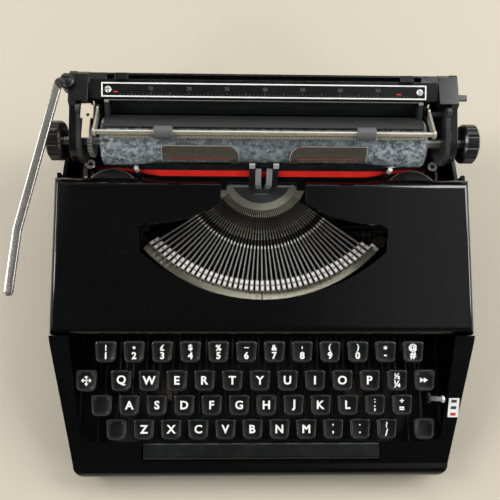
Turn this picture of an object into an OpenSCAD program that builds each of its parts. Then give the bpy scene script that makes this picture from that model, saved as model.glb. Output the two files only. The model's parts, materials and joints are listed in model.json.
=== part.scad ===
// Portable typewriter with a lift-up ribbon cover, a sliding carriage and a segment of typebars.
// Working frame: X across the machine from its middle plane, Y back from the front lip, Z up from
// the table. The last module moves the whole machine so that its box is centred on the origin.

/* [Casing] */
// Width of the casing at its widest, low on the sides
body_w = 294; // [284:1:310]
// Width of the hood across its top edges
hood_w = 290; // [284:1:292]
// Width of the casing at the hood's front edge
shoulder_w = 288; // [284:1:292]
// Width of the casing across the front lip
front_w = 266; // [260:1:276]
// Width of the casing behind the hood, under the carriage
rear_w = 286; // [280:1:290]
// Depth from the front lip to the rear wall
body_d = 262; // [260:1:270]
// Distance from the front lip back to the hood's front edge
hood_y = 97; // [96:0.5:99]
// Depth of the hood from its front edge to its rear edge
hood_d = 109; // [107:0.5:109]
// Height of the hood's front edge above the table
hood_front_z = 60; // [58:0.5:63]
// Height of the hood's rear edge above the table
hood_rear_z = 71; // [70:0.5:74]
// Height of the front lip above the table
lip_h = 20; // [18:0.5:22]
// Depth of the front lip before the keyboard slope starts
lip_d = 9; // [8:0.5:10]
// Rounding of the front lip
lip_r = 7; // [4:0.5:8]
// Thickness of the moulded walls
wall = 2.5; // [1.8:0.1:3]
// Height of the rear wall's top edge above the table
rear_h = 45; // [40:0.5:45.5]
// Rounding along the hood's two side edges
hood_side_r = 5; // [2:0.5:8]
// Rounding along the hood's rear edge
hood_back_r = 7.5; // [6:0.5:8]
// Rounding along the hood's front edge, round the hinge line
hood_front_r = 7; // [6:0.5:8]
// Depth of the hood's side skirts at the rear
skirt_rear = 10; // [9.5:0.5:12]
// Width of the seam between the hood and the lower casing
seam = 0.5; // [0.4:0.1:1]
// Radius of the hood's hinge pins
hinge_r = 1.6; // [1.2:0.1:2]
// Half width of the keyboard opening at its rear
well_half = 131.4; // [131:0.1:132]
// Narrowing of the keyboard opening towards the front, on each side
well_taper = 4.6; // [3:0.1:5]
// Rounding of the corners in plan
corner_r = 9; // [5:0.5:12]

/* [Base] */
// Height of the rubber feet
foot_h = 6; // [5:0.5:6]
// Radius of the rubber feet
foot_r = 9; // [6:0.5:12]
// Distance of the feet's centres from the sides of the chassis
foot_in = 20; // [14:1:30]
// Thickness of the chassis sheet
plate_t = 1.6; // [1:0.1:1.8]
// Distance of the side frames' inner faces from the middle plane
frame_half = 130; // [129:0.5:131]
// Height of the side frames' top edge above the table
frame_h = 42; // [41.6:0.1:42.2]

/* [Keyboard] */
// Distance between neighbouring keys of a row
key_pitch = 19.05; // [18.8:0.05:19.3]
// Offset of the keyboard from the machine's middle plane, to the right
key_shift = -2; // [-2.5:0.1:1]
// Width of a key top
key_w = 14.4; // [12:0.1:15]
// Depth of a key top
key_d = 14.2; // [12:0.1:14.6]
// Thickness of a key top
key_t = 4; // [3:0.1:4.4]
// Depth of the finger dish in a key top
key_dish = 0.9; // [0.4:0.1:1.2]
// Tilt of the key tops towards the typist, in degrees
key_tilt = 9; // [0:1:14]
// Distance of the front key row from the front lip
front_row_y = 33.3; // [32.5:0.1:34]
// Height of the front key row's tops
front_row_z = 28; // [28:0.1:30]
// Step back from one letter row to the next
row_y = 16.8; // [16.4:0.1:17]
// Step up from one letter row to the next
row_z = 8.4; // [7.5:0.1:9]
// Step back from the top letter row to the number row
number_y = 19; // [18:0.1:19.4]
// Step up from the top letter row to the number row
number_z = 9.6; // [8.5:0.1:10]
// Distance of the key levers' pivot rod from the front lip
pivot_y = 176; // [174:0.5:177]
// Height of the key levers' pivot rod
pivot_z = 21.2; // [21:0.1:21.6]
// Radius of the key levers' pivot rod
rod_r = 2; // [1.5:0.1:2.2]
// Thickness of a key lever
lever_t = 1.4; // [1:0.1:1.6]
// Height of a key lever
lever_h = 3.4; // [2.8:0.1:3.6]
// Half length of the space bar
space_half = 83.5; // [80:0.5:85]
// Depth of the space bar
space_d = 12; // [10:0.5:12.4]
// Distance of the space bar's middle from the front lip
space_y = 18.2; // [18:0.1:18.6]
// Height of the space bar's top
space_z = 24; // [23.5:0.1:25]

/* [Type basket] */
// Number of typebars
bars = 44; // [40:2:44]
// Half angle of the typebar fan, in degrees
fan_half = 54; // [50:1:56]
// Radius of the typebar pivots round the middle of the fan
pivot_r = 33.5; // [32.8:0.1:34]
// Inner radius of the segment
segment_in = 24.5; // [23:0.5:26]
// Outer radius of the segment
segment_out = 35.4; // [35:0.1:36.5]
// Radius at which the segment's slots start
slot_r = 30; // [28:0.5:30.6]
// Thickness of the segment
segment_t = 8; // [7:0.5:8]
// Thickness of a typebar
bar_t = 0.9; // [0.6:0.05:1]
// Length of a typebar from its pivot to its type
bar_l = 56; // [54:0.5:58]
// Height of a typebar
bar_h = 3; // [2.4:0.1:3.2]
// Width of a type block
type_w = 2.4; // [1.8:0.1:2.6]
// Length of a type block
type_l = 8; // [6:0.5:9]
// Height of a type block's face above the bar's middle
type_v = 4.2; // [3.8:0.1:4.6]
// Upward slope of a resting typebar towards its type, in degrees
bar_slope = 9.3; // [8:0.1:10]
// Extra sag of the type arc, which makes the side bars longer
arc_back = 21; // [15:1:25]
// Width of the felt rest pad
pad_w = 7; // [5:0.5:8]
// Height of the felt rest pad
pad_h = 4; // [3:0.5:4.5]

/* [Carriage] */
// Height of the platen's axis
platen_z = 77.4; // [77:0.1:78.2]
// Distance of the platen's axis from the front lip
platen_y = 228; // [227.8:0.1:228.4]
// Radius of the platen
platen_r = 16; // [15.4:0.1:16.2]
// Half length of the platen
platen_half = 109.5; // [106:0.5:111]
// Radius of the platen's shaft
shaft_r = 3; // [2.5:0.1:3.5]
// Radius of the platen's knobs
knob_r = 13.5; // [12:0.1:13.8]
// Width of the platen's knobs
knob_w = 10.5; // [8:0.5:12]
// Distance of the carriage end plates' inner faces from its middle
end_half = 122.5; // [121:0.5:124]
// Thickness of the carriage end plates
end_t = 3; // [2.5:0.1:3.5]
// Thickness of the end covers outside the end plates
cover_t = 5; // [4:0.1:5.5]
// Height of the scale bar's top edge
scale_z = 99; // [98:0.1:100]
// Distance of the scale bar's front edge from the front lip
scale_y = 251; // [250.5:0.1:251.5]
// Depth of the scale bar
scale_d = 17; // [16:0.1:17.5]
// Height of the underside of the carriage bed
bed_z = 55; // [54.8:0.1:55.5]
// Depth of the carriage rail
rail_d = 10; // [8:0.5:11]
// Height of the carriage rail
rail_h = 6; // [5:0.1:6.2]
// Distance of the carriage rail's middle from the front lip
rail_y = 250; // [249:0.5:250.5]
// Radius of the paper bail's bar
bail_r = 1.75; // [1.4:0.05:2]
// Radius of the bail's rollers
roller_r = 4.4; // [3.6:0.1:4.6]
// Width of the bail's rollers
roller_w = 12.4; // [10:0.1:14]
// Distance of the bail's rollers from the middle
roller_x = 67; // [60:1:72]
// Width of the return lever's bar
lever_w = 5.6; // [4.6:0.1:6]
// Thickness of the return lever's bar
lever_bar_t = 3; // [2.4:0.1:3.2]
// Forward reach of the return lever from its pivot to its bend
lever_reach = 102; // [95:1:106]
// Forward reach of the return lever's tip beyond its bend
tip_reach = 39; // [35:1:42]
// Outward lean of the return lever from its pivot to its bend
lever_lean = 24.6; // [24:0.1:28]
// Further outward lean of the return lever's tip
tip_lean = 2.3; // [2:0.1:8]
// Module of the escapement's rack and pinion
tooth_m = 1; // [0.9:0.05:1]
// Number of teeth on the escapement pinion
pinion_teeth = 16; // [14:2:16]
// Radius of the mainspring drum
drum_r = 18; // [14:0.5:20]

/* [Ribbon] */
// Angle of the printing line above the platen's level, in degrees
print_angle = 20; // [18:0.5:21]
// Width of the ribbon
ribbon_w = 12.7; // [11:0.1:13]
// Distance of the ribbon from the platen
ribbon_gap = 2.2; // [2:0.05:2.4]
// Thickness of the ribbon
ribbon_t = 0.25; // [0.2:0.05:0.3]
// Distance of the ribbon posts from the middle
post_x = 87; // [84:0.5:87]
// Distance of the spools' centres from the middle
spool_x = 107; // [107:0.5:108]
// Distance of the spools' centres from the front lip
spool_y = 194.5; // [193.5:0.5:194.5]
// Radius of a spool's flanges
spool_r = 20.5; // [18:0.5:21]
// Height of a spool
spool_h = 14.4; // [14.3:0.1:14.8]

/* [Clearances] */
// Radial clearance of pins and shafts in their bores
run = 0.05; // [0.03:0.01:0.09]
// Side clearance of sliding flat parts
slide = 0.3; // [0.2:0.05:0.4]
// Clearance between turning rollers and what they nearly touch
near = 0.4; // [0.3:0.05:0.5]

/* [Hidden] */
$fn = 40;
eps = 0.01;

black = "#141416";
steel = "#8f9296";

// Casing lines
hood_back_y = hood_y + hood_d;
hood_m = (hood_rear_z - hood_front_z) / hood_d;
hood_deg = atan(hood_m);
rail_m = (hood_front_z - lip_h) / (hood_y - lip_d);
hinge_y = hood_y + hood_front_r;
hinge_z = hood_front_z + hood_front_r * hood_m - hood_front_r / cos(hood_deg);
seam_front_z = hinge_z - hood_front_r;
seam_rear_z = hood_rear_z - skirt_rear;
floor_z = foot_h + plate_t;
side_low_z = 30;
well_front_y = space_y + space_d / 2 + 0.6;
slot_front_y = space_y - space_d / 2 - 0.8;
slot_half = space_half + 1.2;
lug_t = 3.4;
boss_out = shoulder_w / 2 - wall;
boss_x = boss_out - 2.4;
lug_x = boss_x - slide - lug_t;

// Key rows, front to back
top_row_y = front_row_y + 2 * row_y;
top_row_z = front_row_z + 2 * row_z;
row_ys = [front_row_y, front_row_y + row_y, top_row_y, top_row_y + number_y];
row_zs = [front_row_z, front_row_z + row_z, top_row_z, top_row_z + number_z];
number_x0 = key_shift - 5.5 * key_pitch;
row_xs = [for (step = [1.25, 0.75, 0.5, 0]) number_x0 + step * key_pitch];
row_counts = [10, 11, 11, 12];
strike_index = 5;
lever_low_z = pivot_z - lever_h / 2;
space_arm_low = lever_low_z - 2.6;
eye_r = rod_r + 1.4;
shift_left_x = row_xs[0] - key_pitch;
shift_right_x = row_xs[0] + 10.4 * key_pitch;
lock_x = row_xs[1] - key_pitch;
margin_x = row_xs[2] - 1.25 * key_pitch;
backspace_x = row_xs[2] + 11 * key_pitch;
space_arms = [key_shift - 6 * key_pitch, key_shift + 5.675 * key_pitch];
comb_y = row_ys[3] + key_d / 2 + 7;
selector_x = well_half - 7.4;
selector_y = row_ys[1] + 4;
selector_z = floor_z + 7;

// Printing line and the striking typebar
print_y = platen_y - platen_r * cos(print_angle);
print_z = platen_z + platen_r * sin(print_angle);
type_gap = ribbon_gap + 0.4;
strike_n = type_gap + type_v;
bar_y = print_y - bar_l * sin(print_angle) - strike_n * cos(print_angle);
bar_z = print_z - bar_l * cos(print_angle) + strike_n * sin(print_angle);
fan_y = bar_y + pivot_r;
fan_step = 2 * fan_half / bars;
live_bar = bars / 2;
segment_low = bar_z - segment_t / 2;
segment_top = bar_z + segment_t / 2;
beam_t = 3;
beam_low = segment_low - beam_t;
tip_u = bar_l + type_l / 2;
tip_y = bar_y - tip_u * cos(bar_slope);
arc_y = tip_y + pivot_r + tip_u * cos(bar_slope) + arc_back;
arc_r = arc_y - tip_y;
pad_top = bar_z + (bar_l - 6) * sin(bar_slope) - bar_h / 2 - 0.5;
shelf_top = pad_top - pad_h;
shelf_t = 2.4;

// Ribbon and spools
shelf_low = frame_h;
shelf_plate_t = 2;
spool_low = shelf_low + shelf_plate_t + near;
spool_shaft_r = 3;
post_r = 1.5;
post_y = hood_back_y + post_r + 1;
flange = 0.6;
ribbon_pack_r = spool_r - 3;
ribbon_turn = 2.8;
ribbon_low_z = spool_low + flange + 0.25;
guide_x = spool_x + ribbon_pack_r + 0.4 - ribbon_turn;
guide_y = post_y + 8.5;
guide_r = 2;
plate_back = guide_y + guide_r + 1;
ribbon_top_s = -2;
ribbon_low_s = ribbon_top_s - ribbon_w;
vibrator_n = ribbon_gap + ribbon_t / 2 + 0.45;

// Carriage
rail_low = bed_z - rail_h - slide;
rail_half = frame_half + plate_t;
bed_t = 3;
bed_y = platen_y + 6;
bed_back = rail_y + rail_d / 2 + 3;
cover_out = end_half + end_t + cover_t;
knob_x = cover_out + 6;
knob_out = knob_x + knob_w;
bail_y = platen_y - 2;
bail_z = platen_z + platen_r + near + roller_r;
bail_pivot_y = scale_y - 6;
bail_pivot_z = platen_z + 11;
arm_x = platen_half + 2.6;
table_half = platen_half - 2.5;
table_low = [platen_y + platen_r + 2, platen_z + 6];
guard_deg = 38;
lever_low = scale_z + 0.6;
lever_x = -(cover_out + 0.5);
lever_y = scale_y + scale_d - 7;
stud_r = 2.5;
pinion_r = tooth_m * pinion_teeth / 2;
rack_y = bed_y - 0.2;
pinion_y = rack_y - pinion_r;
tooth_pitch = PI * tooth_m;
drum_x = -94;
drum_y = min(platen_y + 1, body_d - wall - drum_r - 1);
drum_low = floor_z + 14;
drum_h = 12;
stop_w = 9;
stop_x = platen_half - 14;

// Box of the machine, used to centre it
left_reach = -lever_x + lever_lean + tip_lean + lever_w / 2;
back_reach = max(body_d, scale_y + scale_d + 2);
shift_x = (left_reach - knob_out) / 2;
shift_y = -back_reach / 2;

function arc(cx, cy, r, a0, a1, n = 6) = [for (i = [0:n])
    [cx + r * cos(a0 + (a1 - a0) * i / n), cy + r * sin(a0 + (a1 - a0) * i / n)]];
function mirrored(points) = [for (i = [len(points) - 1:-1:0]) [-points[i][0], points[i][1]]];
// A point at height s along the printing tangent and n in front of the platen
function at_print(n, s) = [print_y + s * sin(print_angle) - n * cos(print_angle),
    print_z + s * cos(print_angle) + n * sin(print_angle)];
function rail_top(y) = lip_h + (y - lip_d) * rail_m;
function fan_angle(i) = (i - live_bar) * fan_step;
// Distance from the fan's middle to the type arc along one bar
function arc_reach(a) = sqrt(pow(arc_r, 2) - pow(arc_back * sin(a), 2)) - arc_back * cos(a);

// Extrudes a profile drawn in Y and Z along X
module across(x0, x1) {
    translate([x0, 0, 0]) rotate([90, 0, 90]) linear_extrude(x1 - x0) children();
}
module x_rod(x0, x1, y, z, r) {
    translate([x0, y, z]) rotate([0, 90, 0]) cylinder(h = x1 - x0, r = r);
}
module both_sides() {
    children();
    mirror([1, 0, 0]) children();
}
module placed() {
    translate([shift_x, shift_y, 0]) children();
}

// Plan of the casing: wide under the hood, drawn in to the lip and to the rear
module casing_plan(inset = 0) {
    half = body_w / 2 - inset;
    front = front_w / 2 - inset;
    shoulder = shoulder_w / 2 - inset;
    rear = rear_w / 2 - inset;
    r = max(corner_r - inset, 1);
    right = concat(
        arc(front - r, inset + r, r, -90, 0),
        [[shoulder, hood_y - 5], [half, hood_y + 0.6 * hood_d], [half, hood_back_y]],
        arc(rear - r, body_d - inset - r, r, 0, 90));
    polygon(concat(right, mirrored(right)));
}
// Side draft of the casing, leaning in towards the hood's edge
module casing_draft(inset = 0) {
    low = body_w / 2 - inset;
    top = hood_w / 2 - inset;
    translate([0, body_d + 5, 0]) rotate([90, 0, 0]) linear_extrude(body_d + 10)
        polygon([[-low, 0], [low, 0], [low, side_low_z], [top, hood_rear_z + 4],
            [-top, hood_rear_z + 4], [-low, side_low_z]]);
}
// Side view of the lower casing, under the hood's seam
module housing_side(inset = 0) {
    top = lip_h - inset;
    polygon(concat(
        [[body_d - inset, 0], [body_d - inset, rear_h - inset], [hood_back_y + 5, rear_h - inset],
            [hood_back_y + 5, seam_rear_z - seam - inset]],
        arc(hinge_y, hinge_z, hood_front_r + seam, 270, 180),
        [[hood_y - seam, hood_front_z - inset], [lip_d, top]],
        arc(lip_r + inset, lip_h - lip_r, max(lip_r - inset, 0.5), 90, 180),
        [[inset + 2, 0]]));
}
module housing_form(inset = 0) {
    intersection() {
        translate([0, 0, -1]) linear_extrude(hood_rear_z + 10) casing_plan(inset);
        casing_draft(inset);
        across(-body_w, body_w) housing_side(inset);
    }
}
module well_cut() {
    front_half = well_half - well_taper;
    right = [[slot_half, slot_front_y], [slot_half, well_front_y], [front_half - 3, well_front_y],
        [front_half, well_front_y + 3], [well_half, hood_y], [well_half, hood_y + 20]];
    linear_extrude(hood_rear_z + 10) polygon(concat(right, mirrored(right)));
}
module housing() {
    color(black) {
        difference() {
            housing_form();
            translate([0, 0, -eps]) housing_form(wall);
            translate([0, 0, -5]) cube([body_w * 2, body_d * 3, 2 * (floor_z + 5)], center = true);
            translate([0, 0, floor_z + 1]) well_cut();
            intersection() {
                translate([-body_w, hood_y - seam - eps, floor_z + 10])
                    cube([2 * body_w, body_d, hood_rear_z]);
                translate([0, 0, floor_z]) linear_extrude(hood_rear_z) casing_plan(wall);
                casing_draft(wall);
            }
        }
        both_sides() difference() {
            union() {
                x_rod(boss_x, boss_out, hinge_y, hinge_z, hinge_r + 2.4);
                translate([boss_x, hinge_y - 1.5, seam_front_z - 12])
                    cube([boss_out - boss_x, 5.5, hinge_z - seam_front_z + 12]);
                translate([boss_x, hinge_y - 1.5, seam_front_z - 12])
                    cube([boss_out + 1.7 - boss_x, 5.5, 11]);
            }
            x_rod(lug_x, boss_out + 0.2, hinge_y, hinge_z, hinge_r);
        }
    }
}

// Side view of the hood, round at the hinge line and along the rear edge
module cover_side(inset = 0) {
    r_back = hood_back_r - inset;
    back_z = hood_rear_z - hood_back_r * hood_m - hood_back_r / cos(hood_deg);
    hollow = [[hood_back_y - inset, hinge_z - 20], [hinge_y, hinge_z - 20]];
    low = inset > 0 ? hollow : [[hood_back_y, seam_rear_z]];
    polygon(concat(
        arc(hinge_y, hinge_z, hood_front_r - inset, 270, 90 + hood_deg, 9),
        arc(hood_back_y - hood_back_r, back_z, r_back, 90 + hood_deg, 0),
        low));
}
// Section of the hood across its slope, with rounded side edges
module cover_section(inset = 0) {
    half = hood_w / 2 - inset;
    r = max(hood_side_r - inset, 0.5);
    flare = (body_w - hood_w) / 2;
    right = concat([[half + flare, -30]], arc(half - r, -inset - r, r, 4, 90));
    translate([0, hood_y, hood_front_z + 0.04]) rotate([90 + hood_deg, 0, 0])
        translate([0, 0, -hood_d - 40]) linear_extrude(hood_d + 80)
            polygon(concat(right, mirrored(right)));
}
module cover_form(inset = 0) {
    intersection() {
        across(-body_w, body_w) cover_side(inset);
        cover_section(inset);
        linear_extrude(hood_rear_z + 10) casing_plan(inset);
    }
}
// Opening over the type basket: a neck at the rear that flares into two wings
module basket_opening() {
    neck = 29.6;
    wing = 86.5;
    wing_y = arc_y - arc_r + 44;
    flare_r = 98;
    flare_y = wing_y + flare_r;
    neck_y = flare_y - sqrt(pow(flare_r, 2) - pow(wing - 5 - neck, 2));
    front_r = arc_r + 13;
    front_y = tip_y - 7.6 + front_r;
    flare_deg = asin((wing - 5 - neck) / flare_r);
    wing_deg = asin((wing - 1.2) / front_r);
    right = concat(
        arc(0, front_y, front_r, -90, -90 + wing_deg, 12),
        arc(wing - 5, wing_y - 5, 5, 0, 90, 4),
        arc(wing - 5, flare_y, flare_r, -90, -90 - flare_deg, 8),
        [[neck, neck_y + 1], [neck, hood_back_y + 10]]);
    linear_extrude(hood_rear_z + 10) polygon(concat(right, mirrored(right)));
}
module hinge_lug() {
    top_z = hood_front_z + (hinge_y + 4 - hood_y) * hood_m - wall + 0.3;
    across(lug_x, lug_x + lug_t) difference() {
        union() {
            translate([hinge_y, hinge_z]) circle(hinge_r + 2.2);
            polygon([[hinge_y - 3.4, hinge_z], [hinge_y + 3.4, hinge_z], [hinge_y + 9, top_z],
                [hinge_y - 2, top_z - 0.8]]);
        }
        translate([hinge_y, hinge_z]) circle(hinge_r + run);
    }
}
module ribbon_cover() {
    color(black) {
        difference() {
            cover_form();
            cover_form(wall);
            basket_opening();
            both_sides() translate([boss_x - slide, hood_y - 1, hinge_z - 10])
                cube([boss_out + 1.5 - boss_x + slide, hood_front_r + 2, 10]);
        }
        both_sides() hinge_lug();
    }
}
module hinge_pins() {
    color(steel) both_sides() x_rod(lug_x - 1.5, boss_out + 0.2, hinge_y, hinge_z, hinge_r);
}

// Formed steel chassis: floor, two side frames, cross post for the pinion and small pivots
module side_frame_profile() {
    polygon([[row_ys[0], floor_z - eps], [row_ys[0], floor_z + 8], [comb_y - 8, floor_z + 8],
        [comb_y + 10, frame_h - 12], [spool_y - 26, frame_h - 12], [spool_y - 22, frame_h],
        [plate_back + 0.5, frame_h], [plate_back + 2, rail_low - 6], [rail_y - rail_d, rail_low - 6],
        [rail_y - rail_d / 2, rail_low], [rail_y + rail_d / 2, rail_low],
        [rail_y + rail_d / 2, floor_z - eps]]);
}
module chassis() {
    color("#3a3b3d") difference() {
        union() {
            translate([0, 0, foot_h]) linear_extrude(plate_t) casing_plan(0.8);
            both_sides() across(frame_half, frame_half + plate_t) difference() {
                side_frame_profile();
                translate([pivot_y, pivot_z]) circle(rod_r);
                translate([spool_y - 8, 32]) circle(7);
                translate([rail_y - 25, 24]) circle(9);
            }
            translate([0, pinion_y, floor_z - eps]) cylinder(h = bed_z - 4.4 - near - floor_z, r = 5);
            translate([0, pinion_y, floor_z]) cylinder(h = bed_z - 0.6 - floor_z, r = 2.5);
            translate([drum_x, drum_y, floor_z - eps]) cylinder(h = drum_low - near - floor_z, r = 5);
            translate([drum_x, drum_y, floor_z]) cylinder(h = drum_low + drum_h + 1 - floor_z, r = stud_r);
            x_rod(selector_x - 2.4, frame_half + eps, selector_y, selector_z, 2);
            translate([frame_half - 3, selector_y - 3, floor_z - eps])
                cube([3 + eps, 6, selector_z + 3 - floor_z]);
        }
        both_sides() for (y = [60, 130, 200])
            translate([70, y, foot_h - eps]) cylinder(h = plate_t + 1, r = 8);
    }
}
module rubber_feet() {
    color("#1b1b1b") both_sides() for (y = [foot_in, body_d - foot_in])
        translate([front_w / 2 - foot_in, y, 0]) rotate_extrude()
            polygon([[0, 0], [foot_r - 1.2, 0], [foot_r, 1.2], [foot_r - 1, foot_h], [0, foot_h]]);
}
module carriage_rail() {
    color(steel) difference() {
        translate([-rail_half, rail_y - rail_d / 2, rail_low]) cube([2 * rail_half, rail_d, rail_h]);
        for (x = [-rail_half + 0.8, rail_half - 0.8]) translate([x, rail_y, rail_low + rail_h - 1.5])
            cylinder(h = 2, r = 0.6);
    }
}

// Keys: dished tops, wide at the back and round at the front, on flat levers with one pivot rod
function lever_list() = concat(
    [for (r = [0:3]) for (i = [0:row_counts[r] - 1]) row_xs[r] + i * key_pitch],
    [shift_left_x, shift_right_x, lock_x, margin_x, backspace_x], space_arms);
module key_outline() {
    w = key_w / 2;
    d = key_d / 2;
    right = concat(arc(w * 0.42, -d + w * 0.5, w * 0.5, -90, -12, 4), arc(w - 2, d - 2, 2, 0, 90, 2));
    polygon(concat(right, mirrored(right)));
}
module keytop(x, y, z) {
    dish_r = (pow(key_w / 2, 2) + pow(key_dish, 2)) / (2 * key_dish);
    translate([x, y, z]) rotate([key_tilt, 0, 0]) difference() {
        translate([0, 0, -key_t]) linear_extrude(key_t) key_outline();
        translate([0, 0, dish_r - key_dish]) sphere(dish_r, $fn = 64);
    }
}
module key_lever(x, y, z) {
    post = 3;
    across(x - lever_t / 2, x + lever_t / 2) difference() {
        union() {
            translate([pivot_y, pivot_z]) circle(eye_r);
            translate([y - post, lever_low_z]) square([pivot_y - y + post - eye_r / 2, lever_h]);
            polygon([[y - post, lever_low_z], [y + post, lever_low_z],
                [y + post, z - key_t * cos(key_tilt) + (post - key_t / 4) * tan(key_tilt)],
                [y - post, z - key_t * cos(key_tilt) - (post + key_t / 4) * tan(key_tilt)]]);
        }
        translate([pivot_y, pivot_z]) circle(rod_r + run);
    }
}
module row_tops(r, skip = -1) {
    for (i = [0:row_counts[r] - 1]) if (i != skip)
        keytop(row_xs[r] + i * key_pitch, row_ys[r], row_zs[r]);
}
module row_levers(r, skip = -1) {
    for (i = [0:row_counts[r] - 1]) if (i != skip)
        key_lever(row_xs[r] + i * key_pitch, row_ys[r], row_zs[r]);
}
module number_keytops() { color("#26272a") row_tops(3); }
module number_levers() { color(steel) row_levers(3); }
module upper_keytops() { color("#26272a") row_tops(2); }
module upper_levers() { color(steel) row_levers(2); }
module home_keytops() { color("#26272a") row_tops(1, strike_index); }
module home_levers() { color(steel) row_levers(1, strike_index); }
module lower_keytops() { color("#26272a") row_tops(0); }
module lower_levers() { color(steel) row_levers(0); }
module whole_key(x, y, z) {
    color("#26272a") union() {
        keytop(x, y, z);
        key_lever(x, y, z + 0.3);
    }
}
module strike_key() { whole_key(row_xs[1] + strike_index * key_pitch, row_ys[1], row_zs[1]); }
module shift_lock_key() { whole_key(lock_x, row_ys[1], row_zs[1]); }
module margin_release_key() { whole_key(margin_x, row_ys[2], row_zs[2]); }
module backspace_key() { whole_key(backspace_x, row_ys[2], row_zs[2]); }
module shift_keys() {
    arm_y = pivot_y + eye_r + 4.6;
    arm_z = pivot_z - 8;
    for (x = [shift_left_x, shift_right_x]) {
        whole_key(x, row_ys[0], row_zs[0]);
        color(steel) across(x - lever_t / 2, x + lever_t / 2)
            polygon([[pivot_y + rod_r + 0.4, pivot_z - 1.6], [arm_y - 1.2, arm_z - 1],
                [arm_y + 1, arm_z + 1], [pivot_y + rod_r + 1, pivot_z + 0.8]]);
    }
    color(steel) x_rod(shift_left_x, shift_right_x, arm_y, arm_z, 1.6);
}
module space_arm(x) {
    across(x - 0.6, x + 0.6) difference() {
        union() {
            translate([pivot_y, pivot_z]) circle(eye_r);
            polygon([[space_y + 2, space_arm_low], [row_ys[2], space_arm_low], [row_ys[3], lever_low_z],
                [pivot_y - eye_r / 2, lever_low_z], [pivot_y - eye_r / 2, lever_low_z + lever_h],
                [row_ys[3], lever_low_z + lever_h], [row_ys[2], space_arm_low + lever_h],
                [space_y + 2, space_arm_low + lever_h]]);
        }
        translate([pivot_y, pivot_z]) circle(rod_r + run);
    }
}
module space_bar() {
    bar_t = 5;
    color("#202124") union() {
        across(-space_half, space_half) polygon(concat(
            [[space_y - space_d / 2, space_z - bar_t]],
            [[space_y + space_d / 2, space_z - bar_t]],
            arc(space_y + space_d / 2 - 2, space_z - 2, 2, 0, 90, 4),
            arc(space_y - space_d / 2 + 3, space_z - 3.4, 3, 90, 180, 5)));
        for (x = space_arms) {
            space_arm(x);
            translate([x > 0 ? space_half - 4 : x - 0.6, space_y + 2, space_arm_low])
                cube([abs(x) - space_half + 4.6, 3, 3.2]);
        }
    }
}
module key_comb() {
    slot = lever_t + 0.8;
    color(steel) difference() {
        translate([-frame_half, comb_y, floor_z]) cube([2 * frame_half, plate_t, pivot_z + 6 - floor_z]);
        for (x = lever_list()) translate([x - slot / 2, comb_y - 1, floor_z + 1.2])
            cube([slot, plate_t + 2, pivot_z + 3 - floor_z - 1.2]);
    }
}
module key_pivot_rod() {
    color(steel) x_rod(-frame_half - plate_t, frame_half + plate_t, pivot_y, pivot_z, rod_r);
}
module colour_selector() {
    top_z = rail_top(selector_y) + 5;
    color("#9a9c9e") across(selector_x - 0.8, selector_x + 0.8) difference() {
        union() {
            translate([selector_y, selector_z]) circle(4);
            polygon([[selector_y - 2, selector_z], [selector_y + 2, selector_z],
                [selector_y + 1.4, top_z], [selector_y - 1.4, top_z]]);
            translate([selector_y, top_z]) circle(2.4);
        }
        translate([selector_y, selector_z]) circle(2 + run);
    }
}

// Type basket: slotted segment, fan of cranked typebars, rest pad on its shelf, guide at the print line
module fan_sector(r0, r1, half_deg, h) {
    rotate([0, 0, -90 - half_deg]) rotate_extrude(angle = 2 * half_deg)
        translate([r0, 0]) square([r1 - r0, h]);
}
module typebar(angle) {
    reach = (arc_reach(angle) - pivot_r) / cos(bar_slope);
    crank = reach * 0.42;
    drop = 0.7;
    h = bar_h / 2;
    translate([0, fan_y, bar_z]) rotate([0, 0, angle - 90]) translate([pivot_r, 0, 0])
        rotate([0, -bar_slope, 0]) {
            translate([0, bar_t / 2, 0]) rotate([90, 0, 0]) linear_extrude(bar_t) difference() {
                union() {
                    circle(h + 0.5);
                    polygon([[0, -h], [crank, -h], [crank + 4, -h - drop], [reach - 1, -h - drop + 0.4],
                        [reach - 1, h - drop - 0.4], [crank + 4, h - drop], [crank, h], [0, h]]);
                }
                circle(0.8 + run);
            }
            translate([reach - type_l, -type_w / 2, h - drop - 1.6])
                cube([type_l, type_w, type_v - h + drop + 1.6]);
        }
}
module typebars() {
    color("#b9bcbf") for (i = [0:bars - 1]) if (i != live_bar) typebar(fan_angle(i));
}
module strike_typebar() { color("#c9ccd0") typebar(0); }
module segment() {
    slot = bar_t + 0.14;
    ring = fan_half + 14;
    color("#a3a296") {
        translate([0, fan_y, 0]) difference() {
            translate([0, 0, segment_low]) fan_sector(segment_in, segment_out, ring, segment_t);
            for (i = [0:bars - 1]) rotate([0, 0, fan_angle(i) - 90])
                translate([slot_r, -slot / 2, segment_low - 1]) cube([segment_out, slot, segment_t + 2]);
        }
        translate([0, fan_y, bar_z]) rotate([0, 0, -90 - fan_half - 2])
            rotate_extrude(angle = 2 * fan_half + 4) translate([pivot_r, 0]) circle(0.8, $fn = 16);
    }
}
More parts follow.
